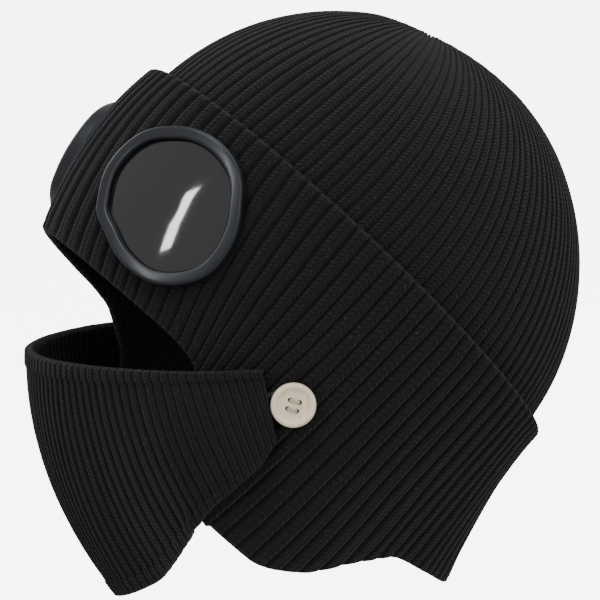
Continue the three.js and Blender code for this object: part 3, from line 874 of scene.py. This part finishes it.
def tube(name, path, radius, sides, turns_per_metre, closed=False):
    """A swept strand with its own map: round it, and along it in metres."""
    path = np.asarray(path, float)
    count = len(path)
    tangent = unit(np.roll(path, -1, 0) - np.roll(path, 1, 0)) if closed else unit(
        np.gradient(path, axis=0)
    )
    normal = unit(np.cross(tangent[0], vector(0.3, 0.2, 0.9)))
    length = np.concatenate([[0], np.cumsum(np.linalg.norm(np.diff(path, axis=0), axis=1))])
    points, corners, faces = [], [], []
    for i in range(count):
        normal = unit(normal - tangent[i] * (normal @ tangent[i]))
        cross = np.cross(tangent[i], normal)
        for k in range(sides):
            angle = 2 * math.pi * k / sides
            ply = 1 + 0.1 * math.cos(3 * (angle + 2 * math.pi * turns_per_metre * length[i] / 3))
            end = 0.55 if not closed and i in (0, count - 1) else 1
            points.append(
                path[i] + (normal * math.cos(angle) + cross * math.sin(angle)) * radius * ply * end
            )
    rings = count if closed else count - 1
    for i in range(rings):
        for k in range(sides):
            a, b = i * sides, ((i + 1) % count) * sides
            faces.append([a + k, a + (k + 1) % sides, b + (k + 1) % sides, b + k])
            v0, v1 = length[i], length[i + 1] if i + 1 < count else length[i] + radius
            u0, u1 = k / sides, (k + 1) / sides
            corners.extend([(u0, v0), (u1, v0), (u1, v1), (u0, v1)])
    if not closed:
        for start, turn in ((0, -1), ((count - 1) * sides, 1)):
            cap = [start + k for k in range(sides)][::turn]
            faces.append(cap)
            corners.extend([(k / sides, length[-1]) for k in range(sides)])
    return tidy_normals(add_mesh(name, np.array(points), faces, corners))


def join(pieces, name):
    clear_selection()
    for piece in pieces:
        piece.select_set(True)
    bpy.context.view_layer.objects.active = pieces[0]
    bpy.ops.object.join()
    pieces[0].name = name
    pieces[0].data.name = name
    return pieces[0]


class HatKnit(bpy.types.PropertyGroup):
    """Counts and sizes of the knitting."""

    crown_ribs: IntProperty(
        name="Crown ribs", description="Ribs round the crown", default=108, min=24, max=160
    )
    cuff_ribs: IntProperty(
        name="Cuff ribs", description="Ribs round the cuff", default=96, min=24, max=160
    )
    mask_ribs: IntProperty(
        name="Mask ribs", description="Ribs across the face mask", default=66, min=24, max=120
    )
    stitch_height: FloatProperty(
        name="Stitch height", description="Height of one stitch along a rib",
        default=2.1 * MM, min=0.0005, max=0.01, precision=4, subtype="DISTANCE", unit="LENGTH",
    )
    unevenness: FloatProperty(
        name="Unevenness", description="How far ribs wander from even spacing and height",
        default=1.0, min=0.0, max=2.0, subtype="FACTOR",
    )


class HatLooks(bpy.types.PropertyGroup):
    """Colours and surfaces."""

    knit_colour: FloatVectorProperty(
        name="Knit", description="Wool between the legs of the stitches", subtype="COLOR",
        size=3, default=(0.0042, 0.0042, 0.0048), min=0, max=1,
    )
    # Painted highlight: the lighter colour of the raised stitch legs.
    leg_highlight_colour: FloatVectorProperty(
        name="Stitch legs", description="Wool on the raised legs of the stitches",
        subtype="COLOR", size=3, default=(0.0115, 0.0117, 0.0132), min=0, max=1,
    )
    # Painted shade: the darker colour deep between the ribs.
    valley_shade_colour: FloatVectorProperty(
        name="Valleys", description="Wool deep between the ribs", subtype="COLOR",
        size=3, default=(0.0008, 0.0008, 0.0009), min=0, max=1,
    )
    # Pale specks: partly real lint, partly painted highlight on loose fibres.
    lint_and_glint_colour: FloatVectorProperty(
        name="Lint", description="Pale fibres and lint that catch the light",
        subtype="COLOR", size=3, default=(0.055, 0.057, 0.064), min=0, max=1,
    )
    # Threshold of the pale specks of lint and painted highlight.
    lint_and_glint_start: FloatProperty(
        name="Lint start", description="Noise level above which lint shows",
        default=0.59, min=0.0, max=1.0, subtype="FACTOR",
    )
    sheen: FloatProperty(
        name="Sheen", description="Soft light caught by the fuzz of the wool",
        default=0.06, min=0.0, max=1.0, subtype="FACTOR",
    )
    rim_colour: FloatVectorProperty(
        name="Rim", description="Satin metal of the goggle rims", subtype="COLOR",
        size=3, default=(0.03, 0.033, 0.039), min=0, max=1,
    )
    rim_dark: FloatVectorProperty(
        name="Rim, darker", description="Darker cloud in the rims' metal", subtype="COLOR",
        size=3, default=(0.018, 0.02, 0.024), min=0, max=1,
    )
    lens_colour: FloatVectorProperty(
        name="Lens", description="Smoked glass of the lenses", subtype="COLOR",
        size=3, default=(0.004, 0.0045, 0.0055), min=0, max=1,
    )
    wood_pale: FloatVectorProperty(
        name="Button", description="Pale wood of the buttons", subtype="COLOR",
        size=3, default=(0.9, 0.79, 0.6), min=0, max=1,
    )
    wood_warm: FloatVectorProperty(
        name="Button, warm", description="Warmer bands of the wood", subtype="COLOR",
        size=3, default=(0.82, 0.66, 0.44), min=0, max=1,
    )
    wood_pore: FloatVectorProperty(
        name="Button pores", description="Fine dark pores of the wood", subtype="COLOR",
        size=3, default=(0.42, 0.26, 0.13), min=0, max=1,
    )
    thread_colour: FloatVectorProperty(
        name="Thread", description="Sewing thread of the buttons", subtype="COLOR",
        size=3, default=(0.8, 0.7, 0.52), min=0, max=1,
    )
    floor_colour: FloatVectorProperty(
        name="Floor", description="Pale studio floor", subtype="COLOR",
        size=3, default=(0.95, 0.95, 0.95), min=0, max=1,
    )


class HatStage(bpy.types.PropertyGroup):
    """Camera, light and floor."""

    camera_distance: FloatProperty(
        name="Camera distance", description="From the lens to the middle of the hat",
        default=1.2, min=0.3, max=10, subtype="DISTANCE", unit="LENGTH",
    )
    camera_azimuth: FloatProperty(
        name="Camera azimuth", description="Turn of the camera round the hat, from its face",
        default=math.radians(71), subtype="ANGLE", unit="ROTATION",
    )
    camera_elevation: FloatProperty(
        name="Camera elevation", description="How far the camera looks down",
        default=math.radians(10), subtype="ANGLE", unit="ROTATION",
    )
    focal_length: FloatProperty(
        name="Focal length", description="Lens of the camera", default=169.9, min=20, max=400,
        subtype="DISTANCE_CAMERA", unit="CAMERA",
    )
    floor_height: FloatProperty(
        name="Floor height", description="Height of the studio floor", default=-0.42,
        min=-2, max=0, subtype="DISTANCE", unit="LENGTH",
    )
    light_power: FloatProperty(
        name="Light power", description="Power of the main soft light", default=14.0,
        min=0, max=500, unit="POWER",
    )


class HAT_OT_crown(bpy.types.Operator):
    """Knits the ribbed crown, gathered at the back of its top"""

    bl_idname = "hat.crown"
    bl_label = "Crown"

    def execute(self, context):
        knit, looks = context.scene.hat_knit, context.scene.hat_looks
        ribs = knit.crown_ribs
        across = np.arange(ribs * FINE) / FINE
        sheet = KnitSheet(ribs, closed=True)
        stitches = CROWN_RIB_LENGTH / knit.stitch_height
        for share in np.linspace(0, 1.0, CROWN_ROWS):
            drift = wander(ribs, across, share, 11) * knit.unevenness * smoothstep(share, 0, 0.2)
            angle = rib_angle((across + 0.1 * drift) / ribs)
            bunched = 1 + 0.5 * math.exp(-((share / 0.1) ** 2))
            relief = CROWN_RIB_RELIEF * bunched * smoothstep(share, -0.02, 0.05)
            swell = 0.22 * MM * drift
            lift = relief * rib_ridge(across) + swell * (1 - smoothstep(share, 0.85, 0.95))
            sheet.add_row(crown_point(angle, share + 0 * angle, lift), share * stitches)
        coarse = np.arange(ribs * ROUGH) / ROUGH
        angle = rib_angle(coarse / ribs)
        end = 1 + CROWN_TUCK / (HEAD_HALF_LENGTH * math.pi / 2)
        at = lambda share, lift: crown_point(angle, share + 0 * angle, lift + 0 * angle)
        sheet.add_row(at((1 + end) / 2, -CROWN_TUCK_IN / 2), (1 + end) / 2 * stitches)
        sheet.add_row(at(end, -CROWN_TUCK_IN), end * stitches)
        sheet.add_row(at(end, -CROWN_TUCK_IN - CROWN_WALL), (end + 0.02) * stitches)
        for share in np.linspace(1, 0, 22):
            ridge = 0.25 * MM * np.cos(2 * math.pi * coarse) * smoothstep(share, 0, 0.1)
            sheet.add_row(at(share, -CROWN_WALL + ridge), (2.06 - share) * stitches)
        sheet.close_slit(0)
        sheet.close_slit(-1)
        crown = tidy_normals(sheet.build("knit_crown", loop=False))
        finish = knit_finish("black rib, crown", looks, knit.stitch_height)
        finish_piece(crown, finish, "crown")
        return {"FINISHED"}


class HAT_OT_cuff(bpy.types.Operator):
    """Knits the deep folded cuff with its brow edge, ear flaps and nape"""

    bl_idname = "hat.cuff"
    bl_label = "Cuff"

    def execute(self, context):
        knit, looks = context.scene.hat_knit, context.scene.hat_looks
        ribs = knit.cuff_ribs
        across = np.arange(ribs * FINE) / FINE
        coarse = np.arange(ribs * ROUGH) / ROUGH
        middle = (CUFF_INSIDE + CUFF_OUTSIDE) / 2
        half = CUFF_WALL / 2
        sheet = KnitSheet(ribs, closed=True)
        stitches = CUFF_RIB_LENGTH / knit.stitch_height

        def row(share, along, lift, over, count):
            drift = wander(ribs, count, share, 23) * knit.unevenness
            ease = smoothstep(share, 0.0, 0.1) * (1 - 0.6 * smoothstep(share, 0.92, 1))
            angle = rib_angle((count + 0.1 * drift * ease) / ribs)
            swell = 0.3 * MM * drift * ease if count is across else 0
            points = cuff_point(angle, share + 0 * angle, lift + swell, over)
            sheet.add_row(points, along * stitches)

        for t in np.linspace(0, 1, 9):
            bend = math.pi / 2 * t
            ridge = CUFF_RIB_RELIEF * 1.15 * smoothstep(t, 0, 1) * rib_ridge(across)
            lift = middle + half * math.sin(bend) + ridge
            row(0.0, -0.08 * (1 - t), lift, -FOLD_ROUND * math.cos(bend), across)
        for share in np.linspace(0.02, 0.985, 82):
            band = 1 - 0.35 * smoothstep(share, 0.955, 0.985)
            ridge = CUFF_RIB_RELIEF * 1.15 * band * rib_ridge(across)
            row(share, share, CUFF_OUTSIDE + ridge, 0, across)
        for t in np.linspace(0, 1, 7):
            bend = math.pi / 2 * t
            ridge = CUFF_RIB_RELIEF * 0.75 * (1 - smoothstep(t, 0, 1)) * rib_ridge(across)
            lift = middle + half * math.cos(bend) + ridge
            row(1.0, 1 + 0.05 * t, lift, HEM_ROUND * math.sin(bend), across)
        row(1.0, 1.07, middle - half * 0.7 + 0 * coarse, HEM_ROUND * 0.7, coarse)
        for share in np.linspace(1, 0, 26):
            ridge = 0.4 * MM * np.cos(2 * math.pi * coarse) * smoothstep(share, 0.2, 0.3)
            row(share, 2.1 - share, CUFF_INSIDE + ridge, 0, coarse)
        row(0.0, 2.12, middle - half * 0.7 + 0 * coarse, -FOLD_ROUND * 0.7, coarse)
        cuff = tidy_normals(sheet.build("knit_cuff", loop=True))
        finish = knit_finish("black rib, cuff", looks, knit.stitch_height)
        finish_piece(cuff, finish, "cuff")
        return {"FINISHED"}


class HAT_OT_mask(bpy.types.Operator):
    """Knits the face mask with its bands and the cord loops that go round the buttons"""

    bl_idname = "hat.mask"
    bl_label = "Face mask"

    def execute(self, context):
        knit, looks = context.scene.hat_knit, context.scene.hat_looks
        ribs = knit.mask_ribs
        sheet = KnitSheet(ribs, closed=False)
        stitches = MASK_HEIGHT / knit.stitch_height
        band = MASK_BAND_HEIGHT / MASK_HEIGHT
        wide, high = 160, 24
        guide = np.linspace(-1, 1, wide + 1), np.linspace(0, 1, high + 1)
        ease_map = mask_ease(*np.meshgrid(*guide, indexing="ij"))

        def eased(reach, down):
            cell = (reach + 1) / 2 * wide
            low = np.clip(np.floor(cell).astype(int), 0, wide - 1)
            column = min(int(down * high), high - 1)
            t, s = cell - low, down * high - column
            first = ease_map[low, column] * (1 - s) + ease_map[low, column + 1] * s
            second = ease_map[low + 1, column] * (1 - s) + ease_map[low + 1, column + 1] * s
            return first * (1 - t) + second * t

        def row(down, along, lift, over, count):
            drift = wander(ribs, count, down, 37) * knit.unevenness
            reach = 2 * count / ribs - 1
            ease = smoothstep(1 - np.abs(reach), 0, 0.04)
            reach = reach + 0.2 / ribs * drift * ease
            point = mask_form(reach, down + 0 * reach)
            rise = lift + eased(reach, down) + 0.25 * MM * drift * ease
            outward = mask_outward(np.abs(reach))
            outward[..., 0] *= np.where(reach < 0, -1, 1)
            point = point + outward * rise[..., None]
            point[..., 2] += over
            sheet.add_row(point, along * stitches)

        across = np.arange(ribs * FINE + 1) / FINE
        coarse = np.arange(ribs * ROUGH + 1) / ROUGH
        middle = -MASK_WALL / 2
        half = MASK_WALL / 2 + MASK_BAND_RELIEF
        edge = smoothstep(1 - np.abs(2 * across / ribs - 1), 0, 0.012)
        relief = 0.55 * MM * edge

        for t in np.linspace(0, 1, 6):
            bend = math.pi / 2 * t
            lift = middle + half * math.sin(bend) + relief * 0.5 * t * rib_ridge(across)
            row(0.0, -0.03 * (1 - t), lift, MASK_EDGE_ROUND * math.cos(bend), across)
        for down in np.linspace(0.012, 0.988, 84):
            raised = 1 - smoothstep(min(down, 1 - down), band * 0.82, band * 1.1)
            ridge = relief * (1 - 0.35 * raised) * rib_ridge(across)
            row(down, down, MASK_BAND_RELIEF * raised + ridge, 0, across)
        for t in np.linspace(0, 1, 6):
            bend = math.pi / 2 * t
            lift = middle + half * math.cos(bend) + relief * 0.5 * (1 - t) * rib_ridge(across)
            row(1.0, 1 + 0.03 * t, lift, -MASK_EDGE_ROUND * math.sin(bend), across)
        inner_edge = smoothstep(1 - np.abs(2 * coarse / ribs - 1), 0, 0.012)
        for down in np.linspace(1, 0, 24):
            ridge = 0.3 * MM * np.cos(2 * math.pi * coarse) * inner_edge
            row(down, 2.06 - down, -MASK_WALL - ridge, 0, coarse)
        mask = sheet.build("knit_mask", loop=True)
        work = bmesh.new()
        work.from_mesh(mask.data)
        open_edges = [edge for edge in work.edges if edge.is_boundary]
        bmesh.ops.holes_fill(work, edges=open_edges, sides=0)
        bmesh.ops.triangulate(work, faces=[f for f in work.faces if len(f.verts) > 40])
        work.to_mesh(mask.data)
        work.free()
        tidy_normals(mask)
        finish = knit_finish("black rib, mask", looks, knit.stitch_height)
        finish_piece(mask, finish, "face_mask")
        # The second colour is the painted shade for the cord's ply grooves.
        cord = thread_finish("black cord", (0.03, 0.031, 0.034), (0.006, 0.006, 0.0065), 500.0)
        angle = np.linspace(0, 2 * math.pi, 65)[:-1]
        p = -(LOOP_SHIFT + LOOP_HALF_LENGTH * np.cos(angle))
        q = LOOP_HALF_WIDTH * np.sin(angle)
        path = BUTTON_FRAME.place(p, q, PART_GAP + LOOP_CORD_DIAMETER / 2)
        loop = tube("mask_loop_left", path, LOOP_CORD_DIAMETER / 2, 12, LOOP_TWIST, closed=True)
        loops = [loop, mirror_copy(loop, "mask_loop_right")]
        for piece in loops:
            finish_piece(piece, cord, None)
        return {"FINISHED"}


class HAT_OT_goggles(bpy.types.Operator):
    """Makes the goggle rims and lenses and sets them on the brow"""

    bl_idname = "hat.goggles"
    bl_label = "Goggles"

    def execute(self, context):
        looks = context.scene.hat_looks
        rim_metal, smoked = rim_finish(looks), lens_finish(looks)
        clear_selection()
        bpy.ops.mesh.primitive_circle_add(
            vertices=128, radius=GOGGLE_HALF_SIZE, fill_type="NGON", location=(0, 0, 0)
        )
        rim = context.object
        rim.name = "goggle_rim_left_dressed"
        edit(rim)
        bpy.ops.mesh.select_all(action="SELECT")
        bpy.ops.mesh.inset(thickness=GOGGLE_RIM_WIDTH, depth=0)
        work = bmesh.from_edit_mesh(rim.data)
        pick(work, rim, "FACE", lambda face: len(face.verts) > 4)
        bpy.ops.mesh.delete(type="FACE")
        bpy.ops.mesh.select_all(action="SELECT")
        bpy.ops.mesh.extrude_region_move(
            TRANSFORM_OT_translate={"value": (0, 0, GOGGLE_RIM_HEIGHT)}
        )
        bpy.ops.mesh.select_all(action="SELECT")
        bpy.ops.mesh.normals_make_consistent(inside=False)
        work = bmesh.from_edit_mesh(rim.data)
        top = lambda edge: all(v.co.z > GOGGLE_RIM_HEIGHT * 0.9 for v in edge.verts)
        ring = lambda edge: abs(edge.verts[0].co.length - edge.verts[1].co.length) < 1e-6
        pick(work, rim, "EDGE", lambda edge: top(edge) and ring(edge))
        bpy.ops.mesh.bevel(offset=RIM_EDGE_ROUND, segments=5, profile=0.6, affect="EDGES")
        bpy.ops.object.mode_set(mode="OBJECT")
        move_points(rim, place_rim)
        rim.data.shade_smooth()
        bpy.ops.object.shade_smooth_by_angle(angle=math.radians(40))

        clear_selection()
        bpy.ops.mesh.primitive_circle_add(
            vertices=128, radius=LENS_RADIUS, fill_type="NGON", location=(0, 0, 0)
        )
        lens = context.object
        lens.name = "goggle_lens_left_dressed"
        edit(lens)
        bpy.ops.mesh.select_all(action="SELECT")
        bpy.ops.mesh.extrude_region_move(
            TRANSFORM_OT_translate={"value": (0, 0, LENS_THICKNESS)}
        )
        bpy.ops.mesh.select_all(action="SELECT")
        bpy.ops.mesh.normals_make_consistent(inside=False)
        work = bmesh.from_edit_mesh(lens.data)
        for side in (0.0, LENS_THICKNESS):
            pick(work, lens, "FACE", lambda face: len(face.verts) > 4
                 and abs(face.calc_center_median().z - side) < 1e-6)
            for step in LENS_RINGS:
                bpy.ops.mesh.inset(thickness=step, depth=0)
            work = bmesh.from_edit_mesh(lens.data)
        bpy.ops.object.mode_set(mode="OBJECT")
        move_points(lens, place_lens)
        lens.data.shade_smooth()
        bpy.ops.object.shade_smooth_by_angle(angle=math.radians(50))
        for piece, metal, node, slot in (
            (rim, rim_metal, "goggle_rim", "rim"), (lens, smoked, "goggle_lens", "lens"),
        ):
            finish_piece(piece, metal, node + "_left")
            other = mirror_copy(piece, node + "_right_dressed")
            finish_piece(other, metal, node + "_right")
        return {"FINISHED"}


class HAT_OT_buttons(bpy.types.Operator):
    """Turns the two dished buttons, drills them and sews them on"""

    bl_idname = "hat.buttons"
    bl_label = "Buttons"

    def execute(self, context):
        looks = context.scene.hat_looks
        radius = BUTTON_DIAMETER / 2
        clear_selection()
        bpy.ops.mesh.primitive_cylinder_add(
            vertices=96, radius=radius, depth=BUTTON_THICKNESS,
            location=(0, 0, BUTTON_THICKNESS / 2),
        )
        button = context.object
        button.name = "button_left_dressed"
        clear_selection()
        button.select_set(True)
        context.view_layer.objects.active = button
        bpy.ops.object.transform_apply(location=True, rotation=False, scale=False)
        work = edit(button)
        high = lambda face: face.calc_center_median().z > 0.9 * BUTTON_THICKNESS
        pick(work, button, "FACE",
             lambda face: len(face.verts) > 4 and face.normal.z > 0.9 and high(face))
        bpy.ops.mesh.inset(thickness=radius * (1 - BUTTON_RING_SHARE), depth=0)
        bpy.ops.mesh.inset(
            thickness=radius * (BUTTON_RING_SHARE - BUTTON_DISH_SHARE), depth=-BUTTON_DISH_DEPTH
        )
        bpy.ops.mesh.inset(thickness=radius * 0.1, depth=0)
        work = bmesh.from_edit_mesh(button.data)
        ring = lambda edge: abs(edge.verts[0].co.xy.length - edge.verts[1].co.xy.length) < 1e-6
        level_edge = lambda edge: abs(edge.verts[0].co.z - edge.verts[1].co.z) < 1e-6
        outer = lambda edge: edge.verts[0].co.xy.length > radius * 0.99
        pick(work, button, "EDGE", lambda edge: ring(edge) and level_edge(edge) and outer(edge))
        bpy.ops.mesh.bevel(offset=BUTTON_EDGE_ROUND, segments=5, profile=0.5, affect="EDGES")
        work = bmesh.from_edit_mesh(button.data)
        between = lambda edge: radius * (BUTTON_DISH_SHARE - 0.01) < edge.verts[0].co.xy.length
        inner = lambda edge: edge.verts[0].co.xy.length < radius * (BUTTON_RING_SHARE + 0.01)
        pick(work, button, "EDGE",
             lambda edge: ring(edge) and level_edge(edge) and between(edge) and inner(edge)
             and edge.verts[0].co.z > BUTTON_THICKNESS / 2)
        bpy.ops.mesh.bevel(offset=BUTTON_RING_ROUND, segments=4, profile=0.5, affect="EDGES")
        bpy.ops.object.mode_set(mode="OBJECT")
        cutters = []
        for i in range(4):
            turn = math.pi / 4 + i * math.pi / 2 - BUTTON_TURN
            at = (BUTTON_HOLE_RING * math.cos(turn), BUTTON_HOLE_RING * math.sin(turn),
                  BUTTON_THICKNESS / 2)
            clear_selection()
            bpy.ops.mesh.primitive_cylinder_add(
                vertices=28, radius=BUTTON_HOLE_DIAMETER / 2, depth=BUTTON_THICKNESS * 2,
                location=at,
            )
            cutters.append(context.object)
        drill = join(cutters, "button drill")
        cut = button.modifiers.new("holes", "BOOLEAN")
        cut.operation, cut.object, cut.solver = "DIFFERENCE", drill, "EXACT"
        apply_modifiers(button)
        bpy.data.objects.remove(drill)
        move_points(button, lambda x, y, z: BUTTON_FRAME.place(x, y, z + BUTTON_BACK))
        clear_selection()
        button.select_set(True)
        context.view_layer.objects.active = button
        bpy.ops.object.shade_smooth_by_angle(angle=math.radians(35))
        wood = button_finish(looks)
        finish_piece(button, wood, "button_left")
        finish_piece(mirror_copy(button, "button_right_dressed"), wood, "button_right")

        # The thread's own colour at 0.45 is the painted shade for its ply grooves.
        thread = thread_finish(
            "sewing thread", looks.thread_colour, [c * 0.45 for c in looks.thread_colour],
            STRAND_TWIST,
        )
        floor = BUTTON_BACK + BUTTON_THICKNESS - BUTTON_DISH_DEPTH
        strands = []
        for first, second in ((0, 1), (2, 3)):
            for shift in (-0.36, 0.36):
                ends = []
                for i in (first, second):
                    turn = math.pi / 4 + i * math.pi / 2 - BUTTON_TURN
                    ends.append(BUTTON_HOLE_RING * np.array([math.cos(turn), math.sin(turn)]))
                line = ends[1] - ends[0]
                aside = np.array([-line[1], line[0]]) / np.linalg.norm(line) * shift * MM
                flat = [ends[0], ends[0], ends[0] + line * 0.04, ends[0] + line * 0.25]
                flat += [ends[0] + line * 0.5, ends[0] + line * 0.75]
                flat += [ends[1] - line * 0.04, ends[1], ends[1]]
                rise = [-2.6, -0.2, 0.35, 0.52, 0.56, 0.52, 0.35, -0.2, -2.6]
                knots = np.array([
                    [*(spot + aside), floor + h * MM] for spot, h in zip(flat, rise)
                ])
                steps = np.linspace(0, len(knots) - 1, 49)
                path = np.stack([
                    np.interp(steps, np.arange(len(knots)), knots[:, axis]) for axis in range(3)
                ], -1)
                for _ in range(3):
                    path[1:-1] = (path[:-2] + 2 * path[1:-1] + path[2:]) / 4
                path = BUTTON_FRAME.place(path[:, 0], path[:, 1], path[:, 2])
                strands.append(tube("strand", path, STRAND_RADIUS, 10, STRAND_TWIST))
        ground = float(BUTTON_FRAME.ground(np.array([0.0]), np.array([0.0]))[0]) + PART_GAP
        for i in range(SHANK_STRANDS):
            turn = np.linspace(0, 2 * math.pi * SHANK_TURNS, 40) + i * 2.1
            height = np.linspace(ground + 0.35 * MM, BUTTON_BACK - 0.35 * MM, 40)
            path = BUTTON_FRAME.place(
                SHANK_RADIUS * np.cos(turn), SHANK_RADIUS * np.sin(turn), height
            )
            strands.append(tube("strand", path, SHANK_STRAND_RADIUS, 8, STRAND_TWIST))
        sewn = join(strands, "button_thread_left_dressed")
        finish_piece(sewn, thread, "button_thread_left")
        finish_piece(
            mirror_copy(sewn, "button_thread_right_dressed"), thread, "button_thread_right"
        )
        return {"FINISHED"}


class HAT_OT_stage(bpy.types.Operator):
    """Sets the floor, the soft lights and the camera"""

    bl_idname = "hat.stage"
    bl_label = "Studio"

    def execute(self, context):
        looks, stage = context.scene.hat_looks, context.scene.hat_stage
        clear_selection()
        bpy.ops.mesh.primitive_circle_add(
            vertices=96, radius=FLOOR_RADIUS, fill_type="NGON", location=(0, 0, stage.floor_height)
        )
        floor = context.object
        floor.name = "studio_floor"
        bpy.ops.object.transform_apply(location=True, rotation=False, scale=False)
        floor.data.materials.append(floor_finish(looks))
        floor.visible_diffuse = floor.visible_glossy = False

        world = bpy.data.worlds.new("studio")
        world.use_nodes = True
        sky = world.node_tree.nodes["Background"]
        sky.inputs["Color"].default_value = (1, 1, 1, 1)
        sky.inputs["Strength"].default_value = WORLD_STRENGTH
        context.scene.world = world

        aim = Vector(AIM)
        turn, rise = stage.camera_azimuth, stage.camera_elevation
        toward = Vector((
            math.cos(rise) * math.sin(turn), -math.cos(rise) * math.cos(turn), math.sin(rise)
        ))
        camera = bpy.data.cameras.new("camera")
        camera.lens = stage.focal_length
        camera.sensor_width = 36
        camera.clip_start, camera.clip_end = 0.01, 50
        view = bpy.data.objects.new("camera", camera)
        view.location = aim + toward * stage.camera_distance
        view.rotation_euler = (-toward).to_track_quat("-Z", "Y").to_euler()
        context.scene.collection.objects.link(view)
        context.scene.camera = view

        for name, (place, wide, high, share) in LAMPS.items():
            lamp = bpy.data.lights.new(name, "AREA")
            lamp.shape, lamp.size, lamp.size_y = "RECTANGLE", wide, high
            lamp.energy = stage.light_power * share
            holder = bpy.data.objects.new(name, lamp)
            holder.location = place
            holder.rotation_euler = (aim - Vector(place)).to_track_quat("-Z", "Y").to_euler()
            context.scene.collection.objects.link(holder)
        return {"FINISHED"}


class HAT_PT_sidebar(bpy.types.Panel):
    """Lists the hat's pieces and its studio"""

    bl_idname = "HAT_PT_sidebar"
    bl_label = "Knitted aviator hat"
    bl_space_type = "VIEW_3D"
    bl_region_type = "UI"
    bl_category = "Hat"

    def draw(self, context):
        for group in (context.scene.hat_knit, context.scene.hat_looks, context.scene.hat_stage):
            box = self.layout.box()
            for name in group.bl_rna.properties.keys():
                if name not in ("rna_type", "name"):
                    box.prop(group, name)
        for operator in OPERATORS:
            self.layout.operator(operator.bl_idname)


OPERATORS = (
    HAT_OT_stage, HAT_OT_crown, HAT_OT_cuff, HAT_OT_mask, HAT_OT_goggles, HAT_OT_buttons,
)
CLASSES = (HatKnit, HatLooks, HatStage, *OPERATORS, HAT_PT_sidebar)


def register():
    for item in CLASSES:
        bpy.utils.register_class(item)
    bpy.types.Scene.hat_knit = PointerProperty(type=HatKnit)
    bpy.types.Scene.hat_looks = PointerProperty(type=HatLooks)
    bpy.types.Scene.hat_stage = PointerProperty(type=HatStage)


def unregister():
    del bpy.types.Scene.hat_stage
    del bpy.types.Scene.hat_looks
    del bpy.types.Scene.hat_knit
    for item in reversed(CLASSES):
        bpy.utils.unregister_class(item)


def main():
    register()
    bpy.ops.hat.stage()
    bpy.ops.hat.crown()
    bpy.ops.hat.cuff()
    bpy.ops.hat.mask()
    bpy.ops.hat.goggles()
    bpy.ops.hat.buttons()


if __name__ == "__main__":
    main()
